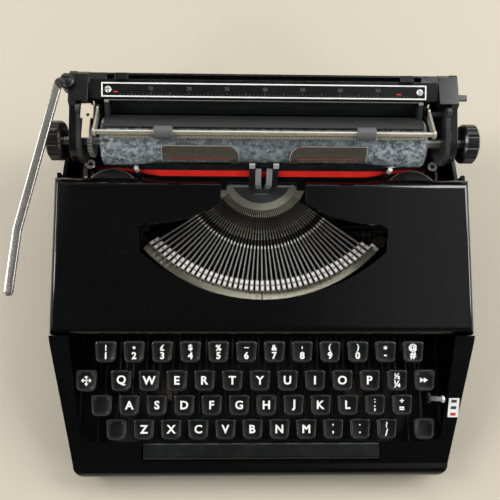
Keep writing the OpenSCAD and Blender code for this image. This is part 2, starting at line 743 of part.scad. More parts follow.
module type_basket() {
    beam_front = fan_y - segment_out + 1;
    beam_back = print_y - 3;
    half = frame_half - slide;
    arm = 92;
    ring_r = pivot_r + 12.5;
    ring_h = bar_z + 10 * tan(bar_slope) - bar_h / 2 - 0.35 - beam_low - beam_t;
    shelf_deg = asin(arm / (arc_r + 4)) + 1;
    arm_y = arc_y - (arc_r + 2) * cos(shelf_deg) - 4;
    arm_low = beam_low + beam_t - 0.6;
    color("#6b6256") {
        difference() {
            translate([-half, beam_front, beam_low]) cube([2 * half, beam_back - beam_front, beam_t]);
            both_sides() translate([75, (beam_front + beam_back) / 2, beam_low - 1])
                cylinder(h = beam_t + 2, r = 6);
        }
        translate([0, arc_y, shelf_top - shelf_t])
            fan_sector(arc_r - 3, arc_r + pad_w - 1.6, shelf_deg, shelf_t);
        both_sides() across(arm - 5, arm - 1) polygon([[arm_y, shelf_top - shelf_t], [beam_front, arm_low],
            [beam_front + 4, arm_low], [beam_front + 4, shelf_top], [arm_y, shelf_top]]);
        translate([0, fan_y, beam_low + beam_t]) difference() {
            fan_sector(ring_r - 1.2, ring_r + 1.2, fan_half + 12, ring_h);
            translate([0, 0, -eps]) fan_sector(ring_r - 3, ring_r + 3, fan_half - 6, ring_h - 2.2);
        }
    }
}
module type_rest_pad() {
    pad_deg = asin(86 / (arc_r + 4));
    color("#d8cfa6") difference() {
        translate([0, arc_y, shelf_top]) fan_sector(arc_r - 2.2, arc_r + pad_w - 2.2, pad_deg, pad_h);
        translate([-0.4, tip_y - 20, shelf_top - 1]) cube([0.8, 40, pad_h + 2]);
    }
}
module type_guide() {
    plate_y = print_y - 3;
    plate_r = segment_in - 0.2;
    up_y = print_y - 10;
    prong = at_print(1, -21);
    color("#43484a") {
        translate([0, 0, segment_low]) linear_extrude(segment_t + 0.6) intersection() {
            translate([0, fan_y]) circle(plate_r);
            translate([-plate_r, plate_y - 60]) square([2 * plate_r, 60]);
        }
        both_sides() translate([9, plate_y - 1.4, segment_top]) cube([16, 1.4, 2.4]);
    }
    color("#b5b8bb") {
        difference() {
            across(-5, 5) polygon([[up_y, segment_top], [up_y + 2.2, segment_top], [up_y + 2.2, prong[1]],
                [up_y, prong[1]]]);
            translate([-1.4, up_y - 5, prong[1] - 12]) cube([2.8, 12, 30]);
        }
        for (side = [-1, 1]) {
            across(side * 3.2 - 1.8, side * 3.2 + 1.8) polygon([at_print(0.6, -17), at_print(8.6, -17),
                at_print(8.6, -20.5), at_print(4, -22.5), at_print(0.6, -22.5)]);
            across(side * 3.8 - 1.9, side * 3.8 + 1.9) polygon([at_print(3, -5), at_print(4.2, -5),
                at_print(8.6, -16), at_print(8.6, -18), at_print(3, -18)]);
        }
    }
}
module ribbon_vibrator() {
    n0 = vibrator_n;
    n1 = vibrator_n + 1.2;
    low = print_z - 28;
    yoke_y = print_y - 7.2;
    color("#c3c6c9") {
        both_sides() across(6.2, 10)
            polygon([at_print(n0, 0), at_print(n1, 0), at_print(n1, -24.6), [yoke_y, low], [yoke_y + 2, low],
                at_print(n0, -25)]);
        across(-10, 10) translate([yoke_y, low - 5]) square([2, 5]);
    }
}

// Ribbon: one tape from the left spool's winding round the guides and posts and across the print line
module ribbon() {
    h = ribbon_t / 2;
    low = at_print(ribbon_gap, ribbon_low_s);
    top = at_print(ribbon_gap, ribbon_top_s);
    out = [h * cos(print_angle), -h * sin(print_angle)];
    post = [post_x, post_y + post_r + 0.5];
    mid = [post_x - 16, (low[0] + top[0]) / 2];
    wrap = 90 + atan((guide_y + ribbon_turn - post[1]) / (guide_x - post[0]));
    start = guide_x + ribbon_turn;
    turn_end = guide_x + ribbon_turn * cos(wrap);
    post_z = ribbon_low_z + 0.72 * (low[1] - ribbon_low_z);
    path_low = [[start + 1, ribbon_low_z], [turn_end, ribbon_low_z], [post[0], post_z], [mid[0], low[1]]];
    path_top = [for (i = [3:-1:0]) path_low[i] + [0, ribbon_w]];
    color("#c01818") {
        across(-mid[0] - 1, mid[0] + 1) polygon([low - out, low + out, top + out, top - out]);
        both_sides() intersection() {
            linear_extrude(platen_z + platen_r) polygon(concat(
                [[start + h, spool_y + 3]], arc(guide_x, guide_y, ribbon_turn + h, 0, wrap, 8),
                [post + [0, h], mid + [0, h], mid - [0, h], post - [0, h]],
                arc(guide_x, guide_y, ribbon_turn - h, wrap, 0, 8), [[start - h, spool_y + 3]]));
            translate([0, body_d, 0]) rotate([90, 0, 0]) linear_extrude(body_d)
                polygon(concat(path_low, path_top));
        }
    }
}
module ribbon_plate() {
    half = max(frame_half + plate_t, guide_x + guide_r + 2);
    low = post_y - 4;
    guide_h = spool_h + 2;
    color("#2b2c2e") {
        difference() {
            translate([-half, low, shelf_low]) cube([2 * half, plate_back - low, shelf_plate_t]);
            translate([-26, low - 1, shelf_low - 1]) cube([52, print_y - 2.6 - low + 1, shelf_plate_t + 2]);
        }
        both_sides() translate([post_x - 5, spool_y - 22, shelf_low])
            cube([half - post_x + 5, low + 1 - spool_y + 22, shelf_plate_t]);
        both_sides() {
            translate([post_x, post_y, shelf_low]) cylinder(h = print_z - 4 - shelf_low, r = post_r);
            translate([guide_x, guide_y, shelf_low]) cylinder(h = guide_h + shelf_plate_t, r = guide_r);
            translate([guide_x, guide_y, shelf_low + shelf_plate_t + guide_h])
                cylinder(h = 1.2, r = guide_r + 1.4);
            translate([spool_x, spool_y, shelf_low])
                cylinder(h = spool_h + shelf_plate_t + 1, r = spool_shaft_r);
        }
    }
}
module spool(side) {
    color("#5d6063") translate([side * spool_x, spool_y, spool_low]) difference() {
        rotate_extrude() polygon([[spool_shaft_r + run, 0], [spool_r, 0], [spool_r, flange],
            [ribbon_pack_r, flange], [ribbon_pack_r, spool_h - flange], [spool_r, spool_h - flange],
            [spool_r, spool_h], [9, spool_h], [8, spool_h - 1.6], [spool_shaft_r + run, spool_h - 1.6]]);
        for (a = [0:120:240]) rotate([0, 0, a]) translate([13, 0, spool_h - flange - eps])
            cylinder(h = 2, r = 3);
    }
}
module left_spool() { spool(-1); }
module right_spool() { spool(1); }
module card_holders() {
    r0 = platen_r + 0.6;
    r1 = platen_r + 1.4;
    inner = 17;
    outer = 69;
    tab = 6;
    low_deg = -36;
    function round_platen(r, a) = [platen_y - r * cos(a), platen_z + r * sin(a)];
    foot_y = round_platen(r1, low_deg)[0];
    function shell(a0, a1, n) = concat([for (i = [0:n]) round_platen(r0, a0 + (a1 - a0) * i / n)],
        [for (i = [n:-1:0]) round_platen(r1, a0 + (a1 - a0) * i / n)]);
    module holder() {
        across(inner + tab, outer) polygon(shell(22, 60, 9));
        across(inner, inner + tab) polygon(concat(shell(low_deg, 60, 23),
            [[foot_y, shelf_low + shelf_plate_t], [foot_y + 1, shelf_low + shelf_plate_t]]));
    }
    color("#9fb0b8", 0.45) both_sides() holder();
}
module bell() {
    color("#c8cacc") translate([96, platen_y + 4, floor_z]) {
        cylinder(h = 28.6, r = 2.4);
        translate([0, 0, 14]) rotate_extrude() polygon(concat(
            arc(0, 0, 14, 0, 90, 8), arc(0, 0, 12.8, 90, 0, 8)));
    }
}
module frame_screws() {
    color(steel) {
        both_sides() for (y = [spool_y - 18.6, post_y + 3.4])
            translate([frame_half - 2, y, shelf_low + shelf_plate_t]) screw_head(2.4);
        both_sides() translate([spool_x, spool_y, shelf_low + shelf_plate_t + spool_h + 1]) screw_head(2.2);
    }
}
module screw_head(r) {
    difference() {
        rotate_extrude() polygon([[0, 0], [r, 0], [r, r * 0.3], [r * 0.6, r * 0.62], [0, r * 0.66]]);
        translate([-r, -r * 0.14, r * 0.34]) cube([2 * r, r * 0.28, r]);
    }
}

// Carriage: bed on the rail, end plates, covers, paper table and scale bar
module end_profile() {
    r = platen_r - 0.8;
    polygon(concat(
        arc(platen_y, platen_z, r, 128, 232, 10),
        [[bed_y, bed_z], [bed_back, bed_z], [scale_y + scale_d, bed_z + 12],
            [scale_y + scale_d, scale_z - 8], [scale_y - 4 - near, scale_z - 8]],
        arc(space_pivot_y, space_pivot_z, 3.4, 0, 180, 6)));
}
module carriage_frame() {
    legs = [rail_y - rail_d / 2 - slide - 2.4, rail_y + rail_d / 2 + slide];
    color("#2a2b2d") {
        translate([-end_half - eps, bed_y, bed_z]) cube([2 * end_half + 2 * eps, bed_back - bed_y, bed_t]);
        for (y = legs) translate([-end_half, y, rail_low + 1])
            cube([2 * end_half, 2.4, bed_z - rail_low - 1 + eps]);
        both_sides() difference() {
            across(end_half, end_half + end_t) end_profile();
            x_rod(end_half - 1, end_half + end_t + 1, platen_y, platen_z, shaft_r + run);
        }
        both_sides() x_rod(arm_x - 1, end_half + eps, bail_pivot_y, bail_pivot_z, 2);
        translate([-end_half - eps, scale_y + scale_d - 2.4, bed_z + 8])
            cube([2 * end_half + 2 * eps, 2, scale_z - 20 - bed_z]);
        translate([-end_half - eps, bed_back - 2, bed_z]) cube([2 * end_half + 2 * eps, 2, 4]);
        translate([-end_half - eps, bed_back - 2, bed_z + 2])
            across_beam(scale_y + scale_d - bed_back + 1.6);
        x_rod(-end_half - eps, -end_half + 8, space_pivot_y, space_pivot_z, 2);
        x_rod(end_half + end_t - eps, cover_out + 3.2, release_y, release_z, 2);
    }
}
space_pivot_y = platen_y + platen_r - 0.4;
space_pivot_z = platen_z + platen_r + 1.6;
release_y = platen_y + 14;
release_z = platen_z - 8;
module across_beam(d) {
    cube([2 * end_half + 2 * eps, d, 2]);
    translate([0, d - 2, 0]) cube([2 * end_half + 2 * eps, 2, 8]);
}
// End cover: a block behind and a strip along the end plate's top
module end_cover(side) {
    r = platen_r - 1.6;
    out = end_half + end_t;
    block_y = scale_y - 3.4;
    mirror([side < 0 ? 1 : 0, 0, 0]) color(black) difference() {
        union() {
            across(out, cover_out) polygon(concat(
                arc(platen_y, platen_z, r, 100, 215, 10),
                [[bed_y + 4, bed_z + 3], [bed_back, bed_z + 3], [scale_y + scale_d + 2, bed_z + 14]],
                arc(scale_y + scale_d - 1, scale_z - 3, 3, 0, 90, 4),
                [[block_y, scale_z], [block_y - 2, scale_z - 4]]));
            across(platen_half + 8, out + eps) polygon([[block_y, scale_z - 8],
                [scale_y + scale_d + 2, scale_z - 8], [scale_y + scale_d + 2, scale_z - 3],
                [scale_y + scale_d - 1, scale_z], [block_y, scale_z]]);
        }
        x_rod(out - 1, cover_out + 1, platen_y, platen_z, shaft_r + 0.6);
        x_rod(out - 1, cover_out + 1, release_y, release_z, 2.2);
    }
}
module left_end_cover() {
    end_cover(-1);
    color(black) {
        translate([lever_x, lever_y, scale_z - 7.9]) cylinder(h = 7.9, r = 5.2);
        translate([lever_x, lever_y, scale_z - 7.9])
            cylinder(h = lever_low + lever_bar_t + near - scale_z + 7.9, r = stud_r);
    }
}
module right_end_cover() { end_cover(1); }
module paper_table() {
    top = [scale_y - 1.4, scale_z - 2.4];
    t = 1.5;
    guard_in = platen_r + 1.2;
    guard_out = guard_in + 1.2;
    color(black) {
        across(-table_half, table_half) polygon([table_low, [table_low[0] + 3.6, table_low[1] + 7.4], top,
            [top[0] + 1.2, top[1] - t], [table_low[0] + 5, table_low[1] + 6],
            [table_low[0] + t, table_low[1] - 0.4]]);
        across(-table_half, table_half) polygon(concat(arc(platen_y, platen_z, guard_out, guard_deg, 80, 8),
            arc(platen_y, platen_z, guard_in, 80, guard_deg, 8)));
        both_sides() across(table_half - 3, table_half) polygon([
            [platen_y + guard_in * cos(guard_deg + 14), platen_z + guard_in * sin(guard_deg + 14) + 0.3],
            [platen_y + guard_in * cos(guard_deg) + 0.3, platen_z + guard_in * sin(guard_deg)],
            [table_low[0] + 4, table_low[1] + 3.6], [top[0] + 0.4, top[1] - 2], [top[0], top[1]]]);
        both_sides() across(table_half - 6, table_half - 3) polygon([[table_low[0] + 3, table_low[1] + 4],
            [scale_y, scale_z - 6], [scale_y, scale_z - 9], [table_low[0] + 3, table_low[1]]]);
    }
}
scale_front_z = scale_z - 3;
scale_slope = atan((scale_z - scale_front_z) / (scale_d - 5));
module scale_bar() {
    half = platen_half + 8;
    groove_y = scale_y + scale_d - 4.4;
    color(black) difference() {
        across(-half, half) polygon([[scale_y, scale_z - 8], [scale_y, scale_front_z],
            [scale_y + scale_d - 5, scale_z], [scale_y + scale_d, scale_z],
            [scale_y + scale_d, scale_z - 8]]);
        translate([-half + 12, groove_y, scale_z - 4]) cube([2 * half - 24, 3, 5]);
    }
}
module scale_frame() {
    long = platen_half - 0.5;
    depth = 9.6;
    line = 0.9;
    color("#c7c9cb") translate([0, scale_y + 0.8, scale_front_z + 0.8 * tan(scale_slope)])
        rotate([scale_slope, 0, 0]) difference() {
            translate([-long, 0, 0]) cube([2 * long, depth, 0.5]);
            translate([-long + line, line, -1]) cube([2 * long - 2 * line, depth - 2 * line, 3]);
        }
}
module carriage_screws() {
    color("#c7c9cb") {
        both_sides() translate([platen_half - 5, scale_y + 5.6, scale_front_z + 5.6 * tan(scale_slope)])
            rotate([scale_slope, 0, 0]) screw_head(2.2);
        translate([lever_x, lever_y, lever_low + lever_bar_t + near]) screw_head(3.6);
    }
}
module escape_rack() {
    count = floor(2 * (end_half - 4) / tooth_pitch / 2);
    low = bed_z - 4;
    color(steel) translate([0, 0, low]) linear_extrude(4) {
        translate([-end_half + 2, rack_y + 1.2 * tooth_m]) square([2 * end_half - 4, 4]);
        for (i = [-count:count]) translate([i * tooth_pitch, rack_y])
            polygon([[-0.95 * tooth_m, 1.3 * tooth_m], [-0.28 * tooth_m, -0.75 * tooth_m],
                [0.28 * tooth_m, -0.75 * tooth_m], [0.95 * tooth_m, 1.3 * tooth_m]]);
    }
}
module escape_pinion() {
    half_deg = 180 / pinion_teeth;
    low = bed_z - 4.4;
    color("#b08d3e") translate([0, pinion_y, low]) rotate([0, 0, 90 + half_deg]) difference() {
        linear_extrude(3.6) {
            circle(pinion_r - 1.15 * tooth_m);
            for (i = [0:pinion_teeth - 1]) rotate([0, 0, i * 2 * half_deg])
                polygon([[pinion_r - 1.6 * tooth_m, -0.8 * tooth_m], [pinion_r, -0.52 * tooth_m],
                    [pinion_r + 0.75 * tooth_m, -0.2 * tooth_m], [pinion_r + 0.75 * tooth_m, 0.2 * tooth_m],
                    [pinion_r, 0.52 * tooth_m], [pinion_r - 1.6 * tooth_m, 0.8 * tooth_m]]);
        }
        translate([0, 0, -1]) cylinder(h = 6, r = 2.5 + run);
    }
}
module mainspring_drum() {
    color("#9a8a52") translate([drum_x, drum_y, drum_low]) difference() {
        rotate_extrude() polygon([[stud_r + run, 0], [drum_r, 0], [drum_r, 1.4], [drum_r - 1.4, 2.8],
            [drum_r - 1.4, drum_h - 2.8], [drum_r, drum_h - 1.4], [drum_r, drum_h], [stud_r + run, drum_h]]);
        for (a = [0:60:300]) rotate([0, 0, a]) translate([drum_r * 0.62, 0, drum_h - 1])
            cylinder(h = 2, r = 2);
    }
}
module margin_stop(x) {
    y = scale_y + scale_d - 4.4;
    color(black) translate([x, 0, 0]) {
        translate([-stop_w / 2, y + slide, scale_z - 3.6]) cube([stop_w, 3 - 2 * slide, 4.4]);
        translate([-stop_w / 2, y - 1.4, scale_z + slide]) cube([stop_w, 5, 1.6]);
    }
}
module left_margin_stop() { margin_stop(-stop_x); }
module right_margin_stop() { margin_stop(stop_x); }

// Platen, its shaft, knobs and line ratchet
module platen() {
    color("#3a3f44") difference() {
        x_rod(-platen_half, platen_half, platen_y, platen_z, platen_r);
        x_rod(-platen_half - 1, platen_half + 1, platen_y, platen_z, shaft_r);
    }
}
module platen_shaft() {
    color(steel) x_rod(-knob_out + 1.5, knob_out - 1.5, platen_y, platen_z, shaft_r);
}
module knob(side) {
    flutes = 12;
    mirror([side < 0 ? 1 : 0, 0, 0]) color(black)
        translate([knob_x, platen_y, platen_z]) rotate([0, 90, 0]) difference() {
            rotate_extrude() polygon([[0, knob_w], [knob_r - 2.4, knob_w], [knob_r, knob_w - 1.6],
                [knob_r, 1.4], [knob_r - 1.2, 0], [shaft_r, 0], [shaft_r, knob_w - 1.5], [0, knob_w - 1.5]]);
            for (i = [0:flutes - 1]) rotate([0, 0, i * 360 / flutes]) translate([knob_r + 1.2, 0, 1.6])
                cylinder(h = knob_w, r = 2.2);
        }
}
module left_knob() { knob(-1); }
module right_knob() { knob(1); }
module line_ratchet() {
    teeth = 30;
    r = 11;
    color(steel) translate([-end_half + 3.4, platen_y, platen_z]) rotate([0, 90, 0]) difference() {
        linear_extrude(3) {
            circle(r - 1.2);
            for (i = [0:teeth - 1]) rotate([0, 0, i * 360 / teeth])
                polygon([[r - 2, -1.1], [r, -0.3], [r, 0.3], [r - 2, 1.1]]);
        }
        translate([0, 0, -1]) cylinder(h = 6, r = shaft_r);
    }
}

// Paper bail on two swinging arms, with its rollers
module paper_bail() {
    arm_t = 1.6;
    color("#c4c6c8") {
        x_rod(-arm_x - arm_t / 2, arm_x + arm_t / 2, bail_y, bail_z, bail_r);
        both_sides() across(arm_x - arm_t / 2, arm_x + arm_t / 2) difference() {
            union() {
                translate([bail_y, bail_z]) circle(3);
                translate([bail_pivot_y, bail_pivot_z]) circle(4.4);
                polygon([[bail_y - 1, bail_z - 2.6], [bail_pivot_y - 3, bail_pivot_z - 2],
                    [bail_pivot_y + 1, bail_pivot_z + 4], [bail_y, bail_z + 2.8]]);
            }
            translate([bail_pivot_y, bail_pivot_z]) circle(2 + run);
        }
    }
}
module bail_roller(x) {
    w = roller_w / 2;
    color("#1c1c1d") translate([x, bail_y, bail_z]) rotate([0, 90, 0]) rotate_extrude()
        polygon([[bail_r + run, -w], [roller_r - 0.5, -w], [roller_r, -w + 0.8], [roller_r, w - 0.8],
            [roller_r - 0.5, w], [bail_r + run, w]]);
}
module left_bail_roller() { bail_roller(-roller_x); }
module right_bail_roller() { bail_roller(roller_x); }

// Return lever: a flat cranked bar that swings about an upright stud
module return_lever() {
    bend = [lever_x - lever_lean, lever_y - lever_reach];
    tip = [bend[0] - tip_lean, bend[1] - tip_reach];
    w = lever_w / 2;
    root_x = lever_x - 6;
    color("#d2d4d6") difference() {
        translate([0, 0, lever_low]) linear_extrude(lever_bar_t) {
            translate([lever_x, lever_y]) circle(4.8);
            polygon(concat([[lever_x, lever_y + 4], [root_x - w + 1, lever_y + 2], [root_x - w, lever_y - 2],
                    [bend[0] - w, bend[1]]],
                arc(tip[0], tip[1], w, 180, 360),
                [[bend[0] + w, bend[1]], [root_x + w, lever_y - 9], [lever_x, lever_y - 4]]));
        }
        translate([lever_x, lever_y, lever_low - 1]) cylinder(h = lever_bar_t + 2, r = stud_r + run);
    }
}
module line_space_lever() {
    x0 = -end_half + 0.6;
    x1 = -arm_x - 1.4;
    hub_x = -end_half + 5;
    reach = 22;
    color("#cdbf98") difference() {
        union() {
            x_rod(hub_x - 4, hub_x + 2, space_pivot_y, space_pivot_z, 3.6);
            across(x0 + 0.4, x1) translate([space_pivot_y, space_pivot_z])
                polygon([[-1, 1.4], [1, 3.4], [-reach, 4.6], [-reach, 2.8]]);
        }
        x_rod(hub_x - 8, hub_x + 8, space_pivot_y, space_pivot_z, 2 + run);
        for (x = [x0 - 1, x1 - 1.7])
            translate([x, space_pivot_y - reach - 1, space_pivot_z]) cube([3, reach - 7, 8]);
        translate([(x0 + x1) / 2 + 1, space_pivot_y - 5.8, space_pivot_z]) cylinder(h = 8, r = 1.2);
    }
}
module paper_release_lever() {
    x0 = cover_out + 0.4;
    tip_z = scale_z - 5;
    color(black) difference() {
        union() {
            across(x0, x0 + 2) union() {
                translate([release_y, release_z]) circle(4.4);
                polygon([[release_y - 3, release_z], [release_y + 4, release_z - 1],
                    [scale_y + 7, tip_z - 4], [scale_y + 6, tip_z], [scale_y + 2, tip_z]]);
            }
            translate([x0, scale_y + 2, tip_z - 2]) cube([knob_x - x0 + 1.5, 4, 2]);
        }
        x_rod(x0 - 1, x0 + 4, release_y, release_z, 2 + run);
    }
}

placed() chassis();
placed() rubber_feet();
placed() housing();
placed() carriage_rail();
placed() key_comb();
placed() key_pivot_rod();
placed() ribbon_plate();
placed() ribbon();
placed() card_holders();
placed() hinge_pins();
placed() frame_screws();
placed() bell();
placed() ribbon_cover();
placed() type_basket();
placed() type_rest_pad();
placed() segment();
placed() typebars();
placed() type_guide();
placed() strike_typebar();
placed() strike_key();
placed() number_keytops();
placed() number_levers();
placed() upper_keytops();
placed() upper_levers();
placed() home_keytops();
placed() home_levers();
placed() lower_keytops();
placed() lower_levers();
placed() shift_keys();
placed() shift_lock_key();
placed() margin_release_key();
placed() backspace_key();
placed() space_bar();
placed() colour_selector();
placed() left_spool();
placed() right_spool();
placed() ribbon_vibrator();
placed() carriage_frame();
placed() left_end_cover();
placed() right_end_cover();
placed() paper_table();
placed() scale_bar();
placed() scale_frame();
placed() carriage_screws();
placed() escape_rack();
placed() escape_pinion();
placed() mainspring_drum();
placed() left_margin_stop();
placed() right_margin_stop();
placed() platen();
placed() platen_shaft();
placed() left_knob();
placed() right_knob();
placed() line_ratchet();
placed() paper_bail();
placed() left_bail_roller();
placed() right_bail_roller();
placed() return_lever();
placed() line_space_lever();
placed() paper_release_lever();
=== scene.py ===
import json
from math import atan2, copysign, cos, hypot, pi, radians, sin, sqrt, tan

import bmesh
import bpy
from bpy.props import FloatProperty, FloatVectorProperty, PointerProperty
from mathutils import Matrix, Vector, noise


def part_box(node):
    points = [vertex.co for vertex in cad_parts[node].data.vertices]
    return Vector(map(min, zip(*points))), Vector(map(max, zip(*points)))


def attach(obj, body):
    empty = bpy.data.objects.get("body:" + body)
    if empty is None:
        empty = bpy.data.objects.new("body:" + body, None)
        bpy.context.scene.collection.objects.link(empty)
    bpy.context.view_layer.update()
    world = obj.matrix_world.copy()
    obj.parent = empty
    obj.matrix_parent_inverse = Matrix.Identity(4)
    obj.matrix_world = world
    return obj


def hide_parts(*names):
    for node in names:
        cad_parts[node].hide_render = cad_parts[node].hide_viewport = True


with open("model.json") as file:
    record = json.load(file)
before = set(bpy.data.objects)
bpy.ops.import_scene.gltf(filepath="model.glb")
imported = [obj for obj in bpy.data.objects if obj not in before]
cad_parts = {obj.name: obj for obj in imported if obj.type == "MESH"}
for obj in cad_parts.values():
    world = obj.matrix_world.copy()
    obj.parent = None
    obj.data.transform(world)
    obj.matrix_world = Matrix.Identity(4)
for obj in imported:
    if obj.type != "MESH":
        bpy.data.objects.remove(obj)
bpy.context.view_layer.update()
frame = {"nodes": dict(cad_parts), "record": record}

bl_info = {
    "name": "Portable typewriter looks",
    "version": (1, 0, 0),
    "blender": (4, 5, 0),
    "location": "View3D > Sidebar > Typewriter",
    "description": "Dresses the portable typewriter's solids with finishes, key legends, ribbon and scales",
    "category": "Object",
}

MM = 0.001
SHARP_DEG = 32
BODY_OF = {node: body for body, nodes in frame["record"]["behaviour"]["bodies"].items() for node in nodes}

# The part's own drawing starts at the middle of the platen and the front lip
PLATEN_LOW, PLATEN_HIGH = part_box("platen")
ORIGIN = Vector(((PLATEN_LOW.x + PLATEN_HIGH.x) / 2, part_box("housing")[0].y, 0))

# Sizes and places in that drawing are in millimetres, angles in radians
KEY_PITCH = 19.05
KEY_TILT = radians(9)
KEY_HALF_W = 7.2
KEY_HALF_D = 7.1
KEY_T = 4
DISH_R = 29.25
# Each row: the place of its first key and how many keys it has
ROWS = {
    "lower": (-82.963, 33.3, 28.0, 10),
    "home": (-92.488, 50.1, 36.4, 11),
    "upper": (-97.25, 66.9, 44.8, 11),
    "number": (-106.775, 85.9, 54.4, 12),
}
STRIKE_INDEX = 5
SINGLE_KEYS = {
    "shift_keys": [(x, *ROWS["lower"][1:3]) for x in (-102.013, 115.157)],
    "shift_lock_key": [(-111.538, *ROWS["home"][1:3])],
    "margin_release_key": [(-121.063, *ROWS["upper"][1:3])],
    "backspace_key": [(112.3, *ROWS["upper"][1:3])],
    "strike_key": [(ROWS["home"][0] + STRIKE_INDEX * KEY_PITCH, *ROWS["home"][1:3])],
}
LEGENDS = {
    "number": ["!1", '"2', "£3", "$4", "%5", "_6", "&7", "'8", "(9", ")0", "*-", "@#"],
    "upper": list("QWERTYUIOP") + ["½¼"],
    "home": list("ASDFGHJKL") + [":;", "+="],
    "lower": list("ZXCVBNM") + [",,", "..", "?/"],
}
LEGEND_BODIES = {row + "_legends": row + "_row" for row in ROWS} | {
    "strike_legend": "live_key", "backspace_legend": "backspace", "margin_release_legend": "margin_release"}
LEGEND_LIFT = 0.03
# Height of a capital in the built-in font, as a share of the font's size
CAP_SHARE = 0.7

PRINT_Y, PRINT_Z, PRINT_TILT = 212.965, 82.872, radians(20)
FAN_Y, BAR_Z, PIVOT_R = 220.922, 32.575, 33.5
FAN_STEP, LIVE_BAR, BARS = radians(2.4545), 22, 44
BAR_SLOPE, ARC_BACK, ARC_R = radians(9.3), 21.0, 113.71
# Both faces of a type: how far from the bar's tip, and how high over its pivot
TYPE_SPOTS, TYPE_TOP = (1.9, 6.0), 4.2
PAD_IN, PAD_OUT, PAD_LOW, PAD_HIGH = 111.5, 118.5, 34.655, 38.655
PAD_HALF = radians(46.9)
PLATEN_Y, PLATEN_Z, PLATEN_R = 228.0, 77.4, 16.0
LEVER_PIVOT = (-131, 261, 0)
GUIDE_X, GUIDE_Y, GUIDE_TOP = 122.1, 217.0, 61.6

# Every fifth tick is a long one
TICK_PITCH, LONG_EVERY = 2.54, 5
SCALE_Y, SCALE_Z, SCALE_RISE = 251, 96, 0.25
SCALE_TICK_Y, SCALE_LONG_Y, SCALE_NUMBER_Y = 253.5, 254.1, 257.6
SCALE_END_Y, SCALE_ENDS = 255.2, (-99.5, 90.5)
BAIL_TICK_Y, BAIL_TICK_Z = 223.3, 98.0
ROLLER_GAP = (60, 74)
# Each strip on the bail: its middle and half its length
BAIL_STRIPS = ((-89, 14.5), (0, 59), (89, 14.5))
BAIL_STRIP_Y, BAIL_STRIP_Z = 223.4, 97.6
HOLDER_R = PLATEN_R + 1.0
HOLDER_TICKS, HOLDER_TICK_X, HOLDER_TICK_LIFT = 16, 24, 0.42
HOLDER_TICK_UP, HOLDER_LONG_UP = radians(24.5), radians(26)
HOLDER_LINE_X, HOLDER_LINE_UP, HOLDER_LINE_LIFT = 44, radians(28.5), (0, -0.42, 0.22)
RAIL_Y, RAIL_Z, RAIL_RISE = 9, 20, 0.4545
SIGN_X, SIGN_Y, SIGN_STEP = 133.7, 48.1, 4.5

CAMERA_AT, CAMERA_LENS = (-20.27, 66.55, 473.975), 43.869
CAMERA_YAW, CAMERA_DOWN, CAMERA_ROLL = radians(7.114), radians(77.771), radians(7.197)


def at(x, y, z):
    """A point of the part's drawing, in millimetres, as a place in the scene."""
    return ORIGIN + Vector((x, y, z)) * MM


def looks():
    return bpy.context.scene.typewriter


class Wire:
    """A shader socket that can stand in a plain expression."""

    def __init__(self, nodes, socket):
        self.nodes = nodes
        self.socket = socket

    def math(self, operation, first, second):
        return self.nodes.node("ShaderNodeMath", {"operation": operation}, {0: first, 1: second})

    def __add__(self, other):
        return self.math("ADD", self, other)

    __radd__ = __add__

    def __sub__(self, other):
        return self.math("SUBTRACT", self, other)

    def __rsub__(self, other):
        return self.math("SUBTRACT", other, self)

    def __mul__(self, other):
        return self.math("MULTIPLY", self, other)

    __rmul__ = __mul__

    def __gt__(self, other):
        return self.math("GREATER_THAN", self, other)

    def __lt__(self, other):
        return self.math("LESS_THAN", self, other)


class Nodes:
    """A shader tree that is built up from wires."""

    def __init__(self, tree):
        self.tree = tree

    def feed(self, socket, value):
        if isinstance(value, Wire):
            self.tree.links.new(value.socket, socket)
        else:
            socket.default_value = value

    def node(self, kind, settings=None, inputs=None, output=0):
        made = self.tree.nodes.new(kind)
        for key, value in (settings or {}).items():
            setattr(made, key, value)
        for key, value in (inputs or {}).items():
            self.feed(made.inputs[key], value)
        return Wire(self, made.outputs[output])

    def ramp(self, value, low, high, start=0.0, end=1.0, ease="LINEAR"):
        inputs = {"Value": value, "From Min": low, "From Max": high, "To Min": start, "To Max": end}
        return self.node("ShaderNodeMapRange", {"interpolation_type": ease}, inputs)

    def mix(self, factor, first, second):
        return self.node("ShaderNodeMix", {"data_type": "RGBA"}, {0: factor, 6: first, 7: second}, 2)


